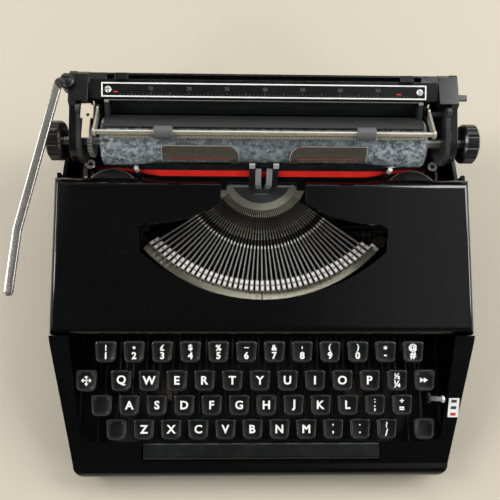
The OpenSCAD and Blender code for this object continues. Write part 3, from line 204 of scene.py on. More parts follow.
class Paint(Nodes):
    """One material: a principled shader and what feeds it."""

    def __init__(self, name):
        self.material = bpy.data.materials.new(name)
        self.material.use_nodes = True
        super().__init__(self.material.node_tree)
        self.tree.nodes.clear()
        self.shader = self.tree.nodes.new("ShaderNodeBsdfPrincipled")
        output = self.tree.nodes.new("ShaderNodeOutputMaterial")
        self.tree.links.new(self.shader.outputs[0], output.inputs[0])

    def spot(self, stretch=(1, 1, 1)):
        place = self.node("ShaderNodeTexCoord", output="Object")
        return self.node("ShaderNodeMapping", {}, {"Vector": place, "Scale": stretch})

    def axis(self, name):
        return self.node("ShaderNodeSeparateXYZ", {}, {"Vector": self.spot()}, name)

    def away(self, middle):
        """Level distance from an upright axis."""
        gap = self.node("ShaderNodeVectorMath", {"operation": "SUBTRACT"}, {0: self.spot(), 1: middle})
        flat = self.node("ShaderNodeVectorMath", {"operation": "MULTIPLY"}, {0: gap, 1: (1, 1, 0)})
        return self.node("ShaderNodeVectorMath", {"operation": "LENGTH"}, {0: flat}, "Value")

    def noise(self, scale, detail=3.0, rough=0.55, stretch=(1, 1, 1)):
        inputs = {"Vector": self.spot(stretch), "Scale": scale, "Detail": detail, "Roughness": rough}
        return self.node("ShaderNodeTexNoise", {}, inputs)

    def rim(self):
        """How much of each point the mesh marks as rim."""
        return self.node("ShaderNodeAttribute", {"attribute_name": "rim"}, output="Fac")

    def bump(self, height, strength, distance):
        return self.node("ShaderNodeBump", {}, {"Strength": strength, "Distance": distance, "Height": height})

    def done(self, **sockets):
        for name, value in sockets.items():
            self.feed(self.shader.inputs[name.replace("_", " ").title()], value)
        return self.material


def rgb(red, green, blue):
    return (red, green, blue, 1.0)


def shade(colour, part):
    """A darker colour: that part of the one given."""
    return rgb(*(c * part for c in colour))


def lacquer(name, colour, gloss, dust):
    """Polished black casing: deep colour, faint waves, dust specks and rubbed patches."""
    paint = Paint(name)
    patches = paint.ramp(paint.noise(26, 4), 0.35, 0.75)
    specks = paint.ramp(paint.noise(1500, 1.5), 0.70, 0.78)
    base = paint.mix(specks * dust, rgb(*colour), rgb(*(c + 0.06 for c in colour)))
    rough = gloss + patches * 0.07 + specks * 0.18
    waves = paint.noise(190, 2) + paint.noise(900, 1) * 0.25
    return paint.done(base_color=base, roughness=rough, normal=paint.bump(waves, 0.05, 0.0004))


def satin(name, colour, rough, grain=900.0, worn=0.05):
    """Painted or moulded surface with a fine grain and paler worn patches."""
    paint = Paint(name)
    fine = paint.noise(grain, 3)
    patches = paint.ramp(paint.noise(60, 4, 0.6), 0.45, 0.8)
    base = paint.mix(patches * 0.6 + fine * 0.2, rgb(*colour), rgb(*(c + worn for c in colour)))
    return paint.done(base_color=base, roughness=rough - 0.1 + fine * 0.14 + patches * 0.06,
                      normal=paint.bump(fine, 0.18, 0.0003))


def metal(name, colour, gloss, bare, grime, scratch=900.0, stretch=(1, 1, 1)):
    """Bare or plated metal with fine scratches and dull stains."""
    paint = Paint(name)
    lines = paint.noise(scratch, 3, 0.6, stretch)
    stains = paint.ramp(paint.noise(85, 5, 0.65), 0.5, 0.8)
    brown = rgb(*(c * k for c, k in zip(colour, (0.24, 0.21, 0.15))))
    base = paint.mix(stains * grime, rgb(*colour), brown)
    base = paint.mix(lines * 0.35, base, shade(colour, 0.62))
    rough = gloss + lines * 0.12 + stains * 0.25
    return paint.done(base_color=base, metallic=bare - stains * grime * bare * 0.6, roughness=rough,
                      normal=paint.bump(lines, 0.10, 0.0002))


# Rings round the fan's middle, inner and outer reach and colour: a tan band, a dark band of painted shadow
# and a bright band of painted highlight
BAR_RINGS = (
    (0.0455, 0.0475, rgb(0.30, 0.26, 0.16)),
    (0.0530, 0.0572, rgb(0.012, 0.012, 0.011)),
    (0.0580, 0.0600, rgb(0.90, 0.90, 0.86)),
)


def bar_steel(name):
    """Typebars: dull by the segment, with three rings further out, a worn one, a dark one that is painted
    shadow and a bright one that is a painted highlight on the crank, and grey types.
    """
    paint = Paint(name)
    reach = paint.away(at(0, FAN_Y, 0))
    raised = paint.ramp(paint.axis("Z") - reach * tan(BAR_SLOPE), 0.0293, 0.0299)
    lines = paint.noise(900, 3, 0.6)
    stains = paint.ramp(paint.noise(120, 4, 0.65), 0.5, 0.8)
    base = paint.mix(paint.ramp(reach, 0.036, 0.066), rgb(0.070, 0.067, 0.052), rgb(0.33, 0.33, 0.31))
    for low, high, colour in BAR_RINGS:
        base = paint.mix((reach > low) * (reach < high), base, colour)
    base = paint.mix(lines * 0.4 + stains * 0.35, base, rgb(0.05, 0.045, 0.036))
    base = paint.mix(raised, base, paint.mix(lines * 0.5, rgb(0.34, 0.33, 0.30), rgb(0.10, 0.095, 0.085)))
    return paint.done(base_color=base, metallic=0.55 - raised * 0.2,
                      roughness=0.24 + lines * 0.14 + stains * 0.2, normal=paint.bump(lines, 0.10, 0.0002))


def key_plastic(name):
    """Dark key top with a fine moulded grain, rubbed patches and a paler rim that is a painted highlight."""
    paint = Paint(name)
    colour = looks().key_colour
    rim = paint.rim()
    fine = paint.noise(1700, 3)
    rubbed = paint.ramp(paint.noise(140, 4), 0.4, 0.75)
    pale = rgb(*(c * 2.6 + 0.014 for c in colour))
    # The marked rim is lightened as a painted highlight; the rubbed patches are wear
    base = paint.mix(rim * 0.8 + rubbed * 0.12, rgb(*colour), pale)
    return paint.done(base_color=base, roughness=0.24 + fine * 0.10 - rim * 0.06,
                      normal=paint.bump(fine, 0.16, 0.0003))


def worn_platen(name):
    """Hard platen rubber, greyed by years of type strokes and crazed towards its ends."""
    paint = Paint(name)
    side = paint.node("ShaderNodeMath", {"operation": "ABSOLUTE"}, {0: paint.axis("X") - ORIGIN.x})
    ends = paint.ramp(side, 0.052, 0.080)
    cloud = paint.noise(210, 6, 0.72)
    streak = paint.noise(420, 4, 0.7, (0.25, 1, 1))
    dots = paint.ramp(paint.noise(1350, 3, 0.7), 0.56, 0.68)
    crazed = paint.ramp(paint.noise(300, 4, 0.7), 0.46, 0.60)
    base = paint.mix(paint.ramp(cloud * 0.6 + streak * 0.4, 0.42, 0.60), rgb(0.034, 0.043, 0.047),
                     rgb(0.17, 0.20, 0.215))
    base = paint.mix(crazed * (0.26 + ends * 0.42), base, rgb(0.52, 0.59, 0.62))
    base = paint.mix(dots * 0.3, base, rgb(0.55, 0.59, 0.60))
    return paint.done(base_color=base, roughness=0.55 + streak * 0.2,
                      normal=paint.bump(dots + cloud, 0.35, 0.0004))


def felt(name):
    """Cream wool felt with loose fibres and grey pressure marks."""
    paint = Paint(name)
    colour = looks().pad_colour
    fibre = paint.noise(2300, 5, 0.75)
    soil = paint.ramp(paint.noise(150, 4, 0.65), 0.42, 0.75)
    base = paint.mix(fibre * 0.15, rgb(*colour), shade(colour, 0.62))
    base = paint.mix(soil * 0.2, base, rgb(0.50, 0.43, 0.27))
    return paint.done(base_color=base, roughness=0.95, sheen_weight=0.3,
                      normal=paint.bump(fibre, 0.7, 0.0006))


def inked_tape(name):
    """Woven ribbon in two colours, told apart by the strip's own map across its width."""
    paint = Paint(name)
    strip = paint.node("ShaderNodeTexCoord", output="UV")
    across = paint.node("ShaderNodeSeparateXYZ", {}, {"Vector": strip}, "Y")
    weave = paint.noise(2600, 2, 0.6, (1, 1, 0.4))
    worn = paint.ramp(paint.noise(120, 4, 0.7), 0.4, 0.8)
    black = paint.mix(worn * 0.5, rgb(0.006, 0.006, 0.007), rgb(0.03, 0.03, 0.032))
    red = paint.mix(worn * 0.55, rgb(*looks().ribbon_red), shade(looks().ribbon_red, 0.45))
    base = paint.mix(across > 0.5, red, black)
    paint.shader.inputs["Specular IOR Level"].default_value = 0.12
    return paint.done(base_color=base, roughness=0.72 + weave * 0.15, normal=paint.bump(weave, 0.4, 0.0002))


def clear_plastic(name):
    """Thin yellowed clear plastic with scuffs, and paler, less clear edges that are a painted highlight."""
    paint = Paint(name)
    scuffs = paint.ramp(paint.noise(900, 4, 0.7, (0.2, 1, 1)), 0.55, 0.8)
    rim = paint.rim()
    base = paint.mix(scuffs * 0.6, rgb(0.080, 0.068, 0.052), rgb(0.24, 0.225, 0.20))
    # Edges marked as rim are paler and less clear: a painted highlight
    base = paint.mix(rim * 0.9, base, rgb(0.72, 0.70, 0.64))
    return paint.done(base_color=base, roughness=0.10 + scuffs * 0.3, alpha=0.62 + scuffs * 0.2 + rim * 0.18)


def ink(name, colour, rough=0.55):
    """Legend ink with slight wear."""
    paint = Paint(name)
    worn = paint.ramp(paint.noise(900, 4, 0.7), 0.55, 0.85)
    base = paint.mix(worn * 0.35, rgb(*colour), shade(colour, 0.72))
    return paint.done(base_color=base, roughness=rough + worn * 0.1)


def floor_paper(name):
    """Plain pale floor with a barely visible tooth."""
    paint = Paint(name)
    tooth = paint.noise(700, 3)
    colour = looks().floor_colour
    base = paint.mix(tooth * 0.08, rgb(*colour), shade(colour, 0.94))
    return paint.done(base_color=base, roughness=0.9, normal=paint.bump(tooth, 0.05, 0.0005))


def aged(paint, base, bare, rough):
    """Finishes a piece of that colour with fine scratches and dull stains."""
    fine = paint.noise(1100, 3)
    stains = paint.ramp(paint.noise(85, 5, 0.65), 0.5, 0.8)
    base = paint.mix(stains * 0.3 + fine * 0.15, base, rgb(0.03, 0.028, 0.024))
    return paint.done(base_color=base, metallic=bare, roughness=rough + fine * 0.1 + stains * 0.1,
                      normal=paint.bump(fine, 0.15, 0.0002))


def two_finish(name, pick, low, high):
    """Two finishes on one piece; pick makes the wire that is one where the second begins."""
    paint = Paint(name)
    second = pick(paint)
    (low_colour, low_rough, low_bare), (high_colour, high_rough, high_bare) = low, high
    return aged(paint, paint.mix(second, rgb(*low_colour), rgb(*high_colour)),
                low_bare + second * (high_bare - low_bare), low_rough + second * (high_rough - low_rough))


def above(height):
    """Picks what is higher than that."""
    return lambda paint: paint.axis("Z") > height * MM


def past_pivot(reach):
    """Picks what is further than that from the return lever's pivot."""
    return lambda paint: paint.away(at(*LEVER_PIVOT)) > reach * MM


def paper_table(name):
    """Smooth black sheet with a weak sheen and a worn metal guard along its rear."""
    sheet, guard = ((0.006, 0.0064, 0.0068), 0.45, 0.0), ((0.34, 0.34, 0.33), 0.3, 0.4)
    made = two_finish(name, lambda p: above(95.7)(p) * (p.axis("Y") > at(0, 248.2, 0).y), sheet, guard)
    made.node_tree.nodes["Principled BSDF"].inputs["Specular IOR Level"].default_value = 0.36
    return made


def guide_grey(name):
    """Type guide: slate half disc, bright flange line and a dull forked plate."""
    paint = Paint(name)
    height = paint.axis("Z")
    flange = height > 0.0379
    plate = paint.mix(paint.ramp(height, 0.052, 0.078), rgb(0.05, 0.054, 0.056), rgb(0.30, 0.31, 0.31))
    base = paint.mix(flange, rgb(0.085, 0.095, 0.10), rgb(0.62, 0.62, 0.60))
    return aged(paint, paint.mix(height > 0.0395, base, plate), flange * 0.3, 0.40)


def spool_steel(name, middle):
    """Dark ribbon spool with a bright worn rim."""
    paint = Paint(name)
    reach = paint.away(middle)
    rim = paint.ramp(reach, 0.0196, 0.0200)
    rings = paint.node("ShaderNodeMath", {"operation": "SINE"}, {0: reach * 9000.0}) * 0.5 + 0.5
    fine = paint.noise(900, 3)
    dark = paint.mix(rings * 0.4 + fine * 0.3, rgb(0.012, 0.012, 0.013), rgb(0.06, 0.06, 0.06))
    base = paint.mix(rim, dark, rgb(0.62, 0.62, 0.60))
    return paint.done(base_color=base, metallic=rim * 0.6 + 0.2, roughness=0.42 - rim * 0.12 + fine * 0.1,
                      normal=paint.bump(rings, 0.12, 0.0001))


BLACK = ((0.008, 0.008, 0.0085), 0.35, 0.0)
SILVER = ((0.80, 0.80, 0.78), 0.25, 0.5)
# Each finish: what makes it, then its values; a value in words is one of the add-on's settings
RECIPES = {
    "casing": (lacquer, "casing_colour", 0.11, 0.5),
    "end_cover": (lacquer, (0.005, 0.005, 0.0055), 0.18, 0.6),
    "frame": (satin, (0.012, 0.0125, 0.013), 0.42),
    "inner_frame": (satin, (0.006, 0.006, 0.0065), 0.6, 900.0, 0.02),
    "basket": (metal, (0.012, 0.011, 0.009), 0.5, 0.3, 0.6),
    "carriage_black": (satin, (0.004, 0.004, 0.0044), 0.28, 1400.0, 0.005),
    "paper_table": (paper_table,),
    # The ribbon plate and its posts are black; the posts' silver tops above that height are painted
    # highlights
    "ribbon_plate": (two_finish, above(73.5), BLACK, SILVER),
    "vibrator": (two_finish, above(80.3), BLACK, SILVER),
    "return_lever": (two_finish, past_pivot(7.8), BLACK, ((0.42, 0.40, 0.37), 0.20, 0.9)),
    "key": (key_plastic,),
    "space_bar": (satin, (0.005, 0.0052, 0.0055), 0.30, 1500.0, 0.008),
    "lever_steel": (metal, (0.05, 0.05, 0.048), 0.45, 0.8, 0.5),
    "steel": (metal, (0.50, 0.50, 0.49), 0.28, 0.75, 0.3, 900.0, (0.15, 1, 1)),
    "bright_type": (metal, (0.92, 0.91, 0.87), 0.22, 0.45, 0.7, 1700.0),
    "bar_steel": (bar_steel,),
    "segment": (metal, (0.74, 0.72, 0.57), 0.42, 0.5, 0.35),
    "guide_grey": (guide_grey,),
    "screws": (two_finish, past_pivot(8.0), BLACK, ((0.80, 0.79, 0.77), 0.18, 0.6)),
    "scale_line": (metal, (0.92, 0.91, 0.88), 0.3, 0.15, 0.15, 2600.0),
    "chrome": (metal, (0.88, 0.87, 0.85), 0.16, 0.6, 0.05, 2600.0),
    "brass": (metal, (0.60, 0.42, 0.16), 0.25, 0.8, 0.35),
    "rubber": (satin, (0.014, 0.014, 0.0145), 0.7),
    "roller": (satin, (0.075, 0.076, 0.078), 0.6, 1500.0, 0.05),
    "bail": (metal, (0.56, 0.52, 0.43), 0.22, 0.7, 0.15, 2600.0),
    "platen_rubber": (worn_platen,),
    "felt": (felt,),
    "tape": (inked_tape,),
    "clear": (clear_plastic,),
    "beige": (satin, (0.46, 0.40, 0.29), 0.5, 1100.0, 0.08),
    "left_spool": (spool_steel, at(-107, 194.5, 0)),
    "right_spool": (spool_steel, at(107, 194.5, 0)),
    "white_ink": (ink, "legend_colour"),
    "scale_ink": (ink, (0.07, 0.07, 0.066)),
    "strip": (satin, (0.13, 0.11, 0.075), 0.5, 1500.0, 0.04),
    "red_ink": (ink, (0.50, 0.03, 0.02)),
    "orange_ink": (ink, (0.45, 0.12, 0.03)),
    "dark_ink": (ink, (0.02, 0.02, 0.02)),
    "sign_white": (ink, (0.78, 0.78, 0.74), 0.4),
    "floor": (floor_paper,),
}


def finish(name):
    """The material of that finish, made the first time it is asked for."""
    made = bpy.data.materials.get(name + "_finish")
    if made:
        return made
    maker, *values = RECIPES[name]
    return maker(name + "_finish", *(getattr(looks(), v) if isinstance(v, str) else v for v in values))


def show(name, data):
    """A new object in the scene."""
    piece = bpy.data.objects.new(name, data)
    bpy.context.scene.collection.objects.link(piece)
    return piece


def plain_mesh(piece, name):
    """The evaluated piece as a plain mesh; the piece itself is taken away."""
    graph = bpy.context.evaluated_depsgraph_get()
    ready = piece.evaluated_get(graph)
    mesh = bpy.data.meshes.new_from_object(ready, preserve_all_data_layers=True, depsgraph=graph)
    mesh.name = name
    old = piece.data
    bpy.data.objects.remove(piece)
    if isinstance(old, bpy.types.Mesh):
        bpy.data.meshes.remove(old)
    return mesh


def fit(name, mesh, body, material=None, stands_for=()):
    """A finished piece that rides on a body."""
    if material:
        mesh.materials.clear()
        mesh.materials.append(finish(material))
    piece = show(name, mesh)
    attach(piece, body)
    if stands_for:
        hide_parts(*stands_for)
    return piece


def smooth(mesh, angle):
    """Smooth shading, broken at edges sharper than that many degrees."""
    mesh.shade_smooth()
    mesh.set_sharp_from_angle(angle=radians(angle))


def mesh_from(name, verts, faces):
    """A mesh whose faces point outwards."""
    mesh = bpy.data.meshes.new(name)
    mesh.from_pydata(verts, [], faces)
    form = bmesh.new()
    form.from_mesh(mesh)
    bmesh.ops.recalc_face_normals(form, faces=form.faces)
    form.to_mesh(mesh)
    form.free()
    return mesh


def sheet_faces(rows, count):
    """Faces of an open sheet with that many rows of count points."""
    return [(a * count + i, a * count + i + 1, (a + 1) * count + i + 1, (a + 1) * count + i)
            for a in range(rows - 1) for i in range(count - 1)]


def skin_faces(rings, count, ends=True):
    """Faces of a skin over rings of count points: its ends are closed, or its last ring joins its first."""
    faces = []
    for a in range(rings - 1 if ends else rings):
        here, there = a * count, (a + 1) % rings * count
        for i in range(count):
            after = (i + 1) % count
            faces.append((here + i, here + after, there + after, there + i))
    if ends:
        last = (rings - 1) * count
        faces += [tuple(range(count - 1, -1, -1)), tuple(range(last, last + count))]
    return faces


def mark_rim(mesh, marks):
    """Tells the finish how much of each point is rim."""
    mesh.attributes.new("rim", "FLOAT", "POINT").data.foreach_set("value", marks)


def thicken(name, mesh, thickness):
    """A sheet with its thickness, half to each side."""
    piece = show(name + "_draft", mesh)
    thick = piece.modifiers.new("thickness", "SOLIDIFY")
    thick.thickness = thickness * MM
    thick.offset = 0
    mesh = plain_mesh(piece, name)
    smooth(mesh, 40)
    return mesh


def dress(node, material, edge):
    """A copy of a solid with softened edges and smooth curves, in place of the solid."""
    mesh = frame["nodes"][node].data.copy()
    form = bmesh.new()
    form.from_mesh(mesh)
    bmesh.ops.remove_doubles(form, verts=form.verts, dist=1e-6)
    bmesh.ops.dissolve_limit(form, angle_limit=radians(0.6), verts=form.verts, edges=form.edges)
    form.to_mesh(mesh)
    form.free()
    smooth(mesh, SHARP_DEG)
    piece = show(node + "_draft", mesh)
    soft = piece.modifiers.new("soft edges", "BEVEL")
    soft.width = edge * MM
    soft.segments = 2
    soft.limit_method = "ANGLE"
    soft.angle_limit = radians(SHARP_DEG)
    soft.harden_normals = True
    even = piece.modifiers.new("even shading", "WEIGHTED_NORMAL")
    even.keep_sharp = True
    mesh = plain_mesh(piece, node + "_form")
    return fit(node + "_dress", mesh, BODY_OF[node], material, [node])


def coat(node, material):
    """A better material on a solid that stays."""
    mesh_object = frame["nodes"][node]
    for place in mesh_object.material_slots:
        place.material = finish(material)
    if not mesh_object.material_slots:
        mesh_object.data.materials.append(finish(material))


def repeat_tree():
    """Geometry nodes that set one shape at every mark, turned and stretched as the mark says."""
    tree = bpy.data.node_groups.get("repeat_at_marks")
    if tree:
        return tree
    tree = bpy.data.node_groups.new("repeat_at_marks", "GeometryNodeTree")
    for label, way, kind in (("Marks", "INPUT", "Geometry"), ("Shape", "INPUT", "Object"),
                             ("Size", "INPUT", "Float"), ("Finish", "INPUT", "Material"),
                             ("Pieces", "OUTPUT", "Geometry")):
        tree.interface.new_socket(label, in_out=way, socket_type="NodeSocket" + kind)
    nodes = {label: tree.nodes.new(kind) for label, kind in {
        "start": "NodeGroupInput", "shape": "GeometryNodeObjectInfo",
        "turn": "GeometryNodeInputNamedAttribute", "stretch": "GeometryNodeInputNamedAttribute",
        "euler": "FunctionNodeEulerToRotation", "size": "ShaderNodeVectorMath",
        "put": "GeometryNodeInstanceOnPoints", "real": "GeometryNodeRealizeInstances",
        "paint": "GeometryNodeSetMaterial", "end": "NodeGroupOutput",
    }.items()}
    nodes["size"].operation = "SCALE"
    for label in ("turn", "stretch"):
        nodes[label].data_type = "FLOAT_VECTOR"
        nodes[label].inputs["Name"].default_value = label
    for source, leaving, target, entering in (
        ("start", "Shape", "shape", "Object"), ("start", "Marks", "put", "Points"),
        ("shape", "Geometry", "put", "Instance"), ("turn", "Attribute", "euler", 0),
        ("euler", 0, "put", "Rotation"), ("stretch", "Attribute", "size", 0),
        ("start", "Size", "size", "Scale"), ("size", 0, "put", "Scale"),
        ("put", "Instances", "real", "Geometry"), ("real", "Geometry", "paint", "Geometry"),
        ("start", "Finish", "paint", "Material"), ("paint", "Geometry", "end", "Pieces"),
    ):
        tree.links.new(nodes[source].outputs[leaving], nodes[target].inputs[entering])
    return tree


def mark(place, turn=(0, 0, 0), stretch=(1, 1, 1)):
    """Where, how turned and how stretched a repeated shape is."""
    return place, turn, stretch


def repeat(name, shape, marks, material, body, stands_for=(), size=1.0):
    """A finished piece of one shape set at every mark."""
    points = bpy.data.meshes.new(name + "_marks")
    points.from_pydata([place for place, _, _ in marks], [], [])
    for index, label in ((1, "turn"), (2, "stretch")):
        layer = points.attributes.new(label, "FLOAT_VECTOR", "POINT")
        layer.data.foreach_set("vector", [value for entry in marks for value in entry[index]])
    sample = show(name + "_shape", shape)
    piece = show(name + "_repeat", points)
    tree = repeat_tree()
    sockets = {item.name: item.identifier for item in tree.interface.items_tree if item.in_out == "INPUT"}
    nodes = piece.modifiers.new("repeat", "NODES")
    nodes.node_group = tree
    nodes[sockets["Shape"]] = sample
    nodes[sockets["Size"]] = size
    nodes[sockets["Finish"]] = finish(material)
    mesh = plain_mesh(piece, name)
    bpy.data.objects.remove(sample)
    return fit(name, mesh, body, None, stands_for)


def bar_shape(name, half_x, half_y, half_z):
    """A small bar with eased edges, about its own middle, in millimetres."""
    form = bmesh.new()
    bmesh.ops.create_cube(form, size=2.0)
    bmesh.ops.scale(form, vec=Vector((half_x, half_y, half_z)) * MM, verts=form.verts)
    offset = 0.2 * min(half_x, half_y, half_z) * MM
    bmesh.ops.bevel(form, geom=form.edges[:], offset=offset, segments=1, affect="EDGES")
    mesh = bpy.data.meshes.new(name)
    form.to_mesh(mesh)
    form.free()
    return mesh


def glyph(text, height, bold):
    """Text as a mesh about its own middle: cap height in millimetres, laid in X and Y."""
    curve = bpy.data.curves.new("glyph", "FONT")
    curve.body = text
    curve.size = height / CAP_SHARE
    curve.extrude = 0.005
    curve.bevel_depth = bold
    curve.bevel_resolution = 0
    curve.resolution_u = 3
    mesh = plain_mesh(show("glyph", curve), "glyph")
    bpy.data.curves.remove(curve)
    xs = [v.co.x for v in mesh.vertices]
    ys = [v.co.y for v in mesh.vertices]
    middle = Vector(((min(xs) + max(xs)) / 2, (min(ys) + max(ys)) / 2, 0))
    mesh.transform(Matrix.Translation(-middle))
    return mesh


class Bag:
    """Gathers many small meshes into one."""

    def __init__(self):
        self.verts = []
        self.faces = []

    def add(self, verts, faces):
        base = len(self.verts)
        self.verts += [tuple(v) for v in verts]
        self.faces += [[base + i for i in face] for face in faces]

    def add_mesh(self, mesh, move):
        self.add([move(v.co) for v in mesh.vertices], [list(p.vertices) for p in mesh.polygons])
        bpy.data.meshes.remove(mesh)

    def fit(self, name, body, slot, material):
        mesh = bpy.data.meshes.new(name)
        mesh.from_pydata(self.verts, [], self.faces)
        fit(name, mesh, body, material)


def arc(x, y, r, start, end, steps):
    """Points along an arc between two angles in degrees."""
    angles = [radians(start + (end - start) * i / steps) for i in range(steps + 1)]
    return [(x + r * cos(a), y + r * sin(a)) for a in angles]


def key_outline():
    """Outline of a key: a broad round front and small corners at the back."""
    w, d = KEY_HALF_W, KEY_HALF_D
    right = arc(w * 0.42, -d + w * 0.5, w * 0.5, -90, -12, 6) + arc(w - 2, d - 2, 2, 0, 90, 4)
    return right + [(-x, y) for x, y in reversed(right)]


def dish(x, y):
    """Height of a key's dished top, from the top of its rim."""
    return min(-0.85 + (x * x + y * y) / (2 * DISH_R), -0.22)


def key_cap():
    """One dished key top with a raised, rounded rim; its rim is marked for the finish's painted highlight."""
    outline = key_outline()
    bands = [(-0.10, -KEY_T, 0), (-0.10, -1.0, 0), (-0.02, -0.45, 0.1), (0.25, -0.10, 0.6), (0.6, 0.07, 1.0),
             (1.0, 0.06, 1.0), (1.35, -0.08, 0.6), (1.8, None, 0.1), (3.2, None, 0), (5.2, None, 0)]
    verts, marks = [], []
    for inset, height, rim in bands:
        for x, y in outline:
            px, py = x * (1 - inset / KEY_HALF_W), y * (1 - inset / KEY_HALF_D)
            verts.append((px * MM, py * MM, (dish(px, py) if height is None else height) * MM))
            marks.append(rim)
    mesh = mesh_from("key_cap", verts, skin_faces(len(bands), len(outline)))
    mark_rim(mesh, marks)
    smooth(mesh, 50)
    return mesh


def key_places(row):
    """Places of the keys that stay with the row."""
    x, y, z, count = ROWS[row]
    return [(x + i * KEY_PITCH, y, z) for i in range(count) if not (row == "home" and i == STRIKE_INDEX)]


def row_texts(row):
    """Legends that stay with the row; the live key carries its own."""
    return [t for i, t in enumerate(LEGENDS[row]) if not (row == "home" and i == STRIKE_INDEX)]


def on_key(place):
    """Moves a flat shape on to a key's dished top."""
    turn = Matrix.Rotation(KEY_TILT, 4, "X")
    base = at(*place)

    def move(point, up=0.0):
        x, y = point.x, point.y + up
        return base + turn @ (Vector((x, y, dish(x, y) + LEGEND_LIFT + point.z)) * MM)
    return move


def legend_on(bag, text, place):
    """Adds the legend of a key: one sign, or two with one over the other."""
    size = looks().legend_size * 1000
    move = on_key(place)
    if len(text) == 1:
        bag.add_mesh(glyph(text, size, 0.045 * size), move)
        return
    for sign, up, part in ((text[0], 2.75, 0.70), (text[1], -2.55, 0.80)):
        bag.add_mesh(glyph(sign, size * part, 0.040 * size), lambda point: move(point, up))


def plate_on(bag, points, move):
    """Adds a flat polygon as a thin closed plate."""
    verts = [Vector((x, y, z)) for z in (0, 0.06) for x, y in points]
    bag.add([move(v) for v in verts], skin_faces(2, len(points)))


class KEYS_OT_caps(bpy.types.Operator):
    """Makes the dished key tops of the four rows and the single keys"""
    bl_idname = "typewriter.key_caps"
    bl_label = "Key tops"

    def execute(self, context):
        groups = [(row + "_caps", key_places(row), row + "_row", [row + "_keytops"]) for row in ROWS]
        groups += [(node + "_cap", places, BODY_OF[node], []) for node, places in SINGLE_KEYS.items()]
        for name, places, body, stands_for in groups:
            marks = [mark(at(*place), (KEY_TILT, 0, 0)) for place in places]
            repeat(name, key_cap(), marks, "key", body, stands_for)
        for node in [*SINGLE_KEYS, *(row + "_levers" for row in ROWS)]:
            coat(node, "lever_steel")
        return {"FINISHED"}


class KEYS_OT_legends(bpy.types.Operator):
    """Sets the white legends on the key tops"""
    bl_idname = "typewriter.key_legends"
    bl_label = "Key legends"

    def execute(self, context):
        bags = {name: Bag() for name in LEGEND_BODIES}
        for row in ROWS:
            for text, place in zip(row_texts(row), key_places(row)):
                legend_on(bags[row + "_legends"], text, place)
        legend_on(bags["strike_legend"], LEGENDS["home"][STRIKE_INDEX], SINGLE_KEYS["strike_key"][0])
        move = on_key(SINGLE_KEYS["backspace_key"][0])
        for x in (-2.9, -0.2):
            plate_on(bags["backspace_legend"], [(x, -1.7), (x + 2.9, 0), (x, 1.7)], move)
        move = on_key(SINGLE_KEYS["margin_release_key"][0])
        arrow = [(0.35, -0.35), (2.0, -0.35), (2.0, -1.5), (3.7, 0), (2.0, 1.5), (2.0, 0.35), (0.35, 0.35)]
        for quarter in range(4):
            spin = Matrix.Rotation(quarter * pi / 2, 3, "Z")
            plate_on(bags["margin_release_legend"], arrow, lambda point: move(spin @ point))
        for name, bag in bags.items():
            bag.fit(name, LEGEND_BODIES[name], "key_plastic", "white_ink")
        return {"FINISHED"}


class BODY_OT_casing(bpy.types.Operator):
    """Dresses the casing, hood and end covers in polished black"""
    bl_idname = "typewriter.casing"
    bl_label = "Casing"

    def execute(self, context):
        edge = looks().soft_edge * 1000
        dress("housing", "casing", edge)
        dress("ribbon_cover", "casing", edge)
        for side in ("left", "right"):
            dress(side + "_end_cover", "end_cover", 0.7)
            dress(side + "_knob", "end_cover", 0.5)
        dress("space_bar", "space_bar", 0.5)
        return {"FINISHED"}


class BODY_OT_inside(bpy.types.Operator):
    """Gives the chassis, rails and works their metal and paint"""
    bl_idname = "typewriter.inside"
    bl_label = "Frame and works"

    def execute(self, context):
        for node, material in {
            "chassis": "inner_frame", "key_comb": "inner_frame", "rubber_feet": "rubber", "bell": "chrome",
            "key_pivot_rod": "lever_steel", "escape_pinion": "brass", "carriage_rail": "steel",
            "hinge_pins": "steel", "frame_screws": "steel", "escape_rack": "steel",
            "mainspring_drum": "steel", "line_ratchet": "steel", "platen_shaft": "steel",
        }.items():
            coat(node, material)
        return {"FINISHED"}


def bar_marks(indices, along):
    """Marks on the type blocks of the fan, that far from each bar's tip."""
    marks = []
    for i in indices:
        angle = (i - LIVE_BAR) * FAN_STEP
        back = ARC_BACK * cos(angle)
        reach = (-back + sqrt(back * back + ARC_R ** 2 - ARC_BACK ** 2) - PIVOT_R) / cos(BAR_SLOPE)
        frame_turn = Matrix.Rotation(angle - pi / 2, 3, "Z")
        bar_turn = frame_turn @ Matrix.Rotation(-BAR_SLOPE, 3, "Y")
        pivot = Vector((0, FAN_Y, BAR_Z)) + frame_turn @ Vector((PIVOT_R, 0, 0))
        place = pivot + bar_turn @ Vector((reach - along, 0, TYPE_TOP))
        marks.append(mark(at(*place), tuple(bar_turn.to_euler())))
    return marks


def loose(place, turn, count):
    """The mark of a type, turned and sized a little at odds with its neighbours."""
    wobble = noise.noise(Vector((count * 1.7, 0.3, 0.0)))
    return mark(place, (turn[0], turn[1], turn[2] + 0.16 * wobble), (1 + 0.16 * wobble, 1 - 0.12 * wobble, 1))


def type_face():
    """The raised face of a type: a flat pad with three strokes."""
    form = bmesh.new()
    for size, middle in (((1.30, 0.90, 0.08), (0, 0, 0.05)), ((0.95, 0.2, 0.06), (0, 0.5, 0.19)),
                         ((0.95, 0.2, 0.06), (0, -0.5, 0.19)), ((0.2, 0.6, 0.06), (0.2, 0, 0.19))):
        made = bmesh.ops.create_cube(form, size=2.0)["verts"]
        bmesh.ops.scale(form, vec=Vector(size) * MM, verts=made)
        bmesh.ops.translate(form, vec=Vector(middle) * MM, verts=made)
    mesh = bpy.data.meshes.new("type_face")
    form.to_mesh(mesh)
    form.free()
    return mesh


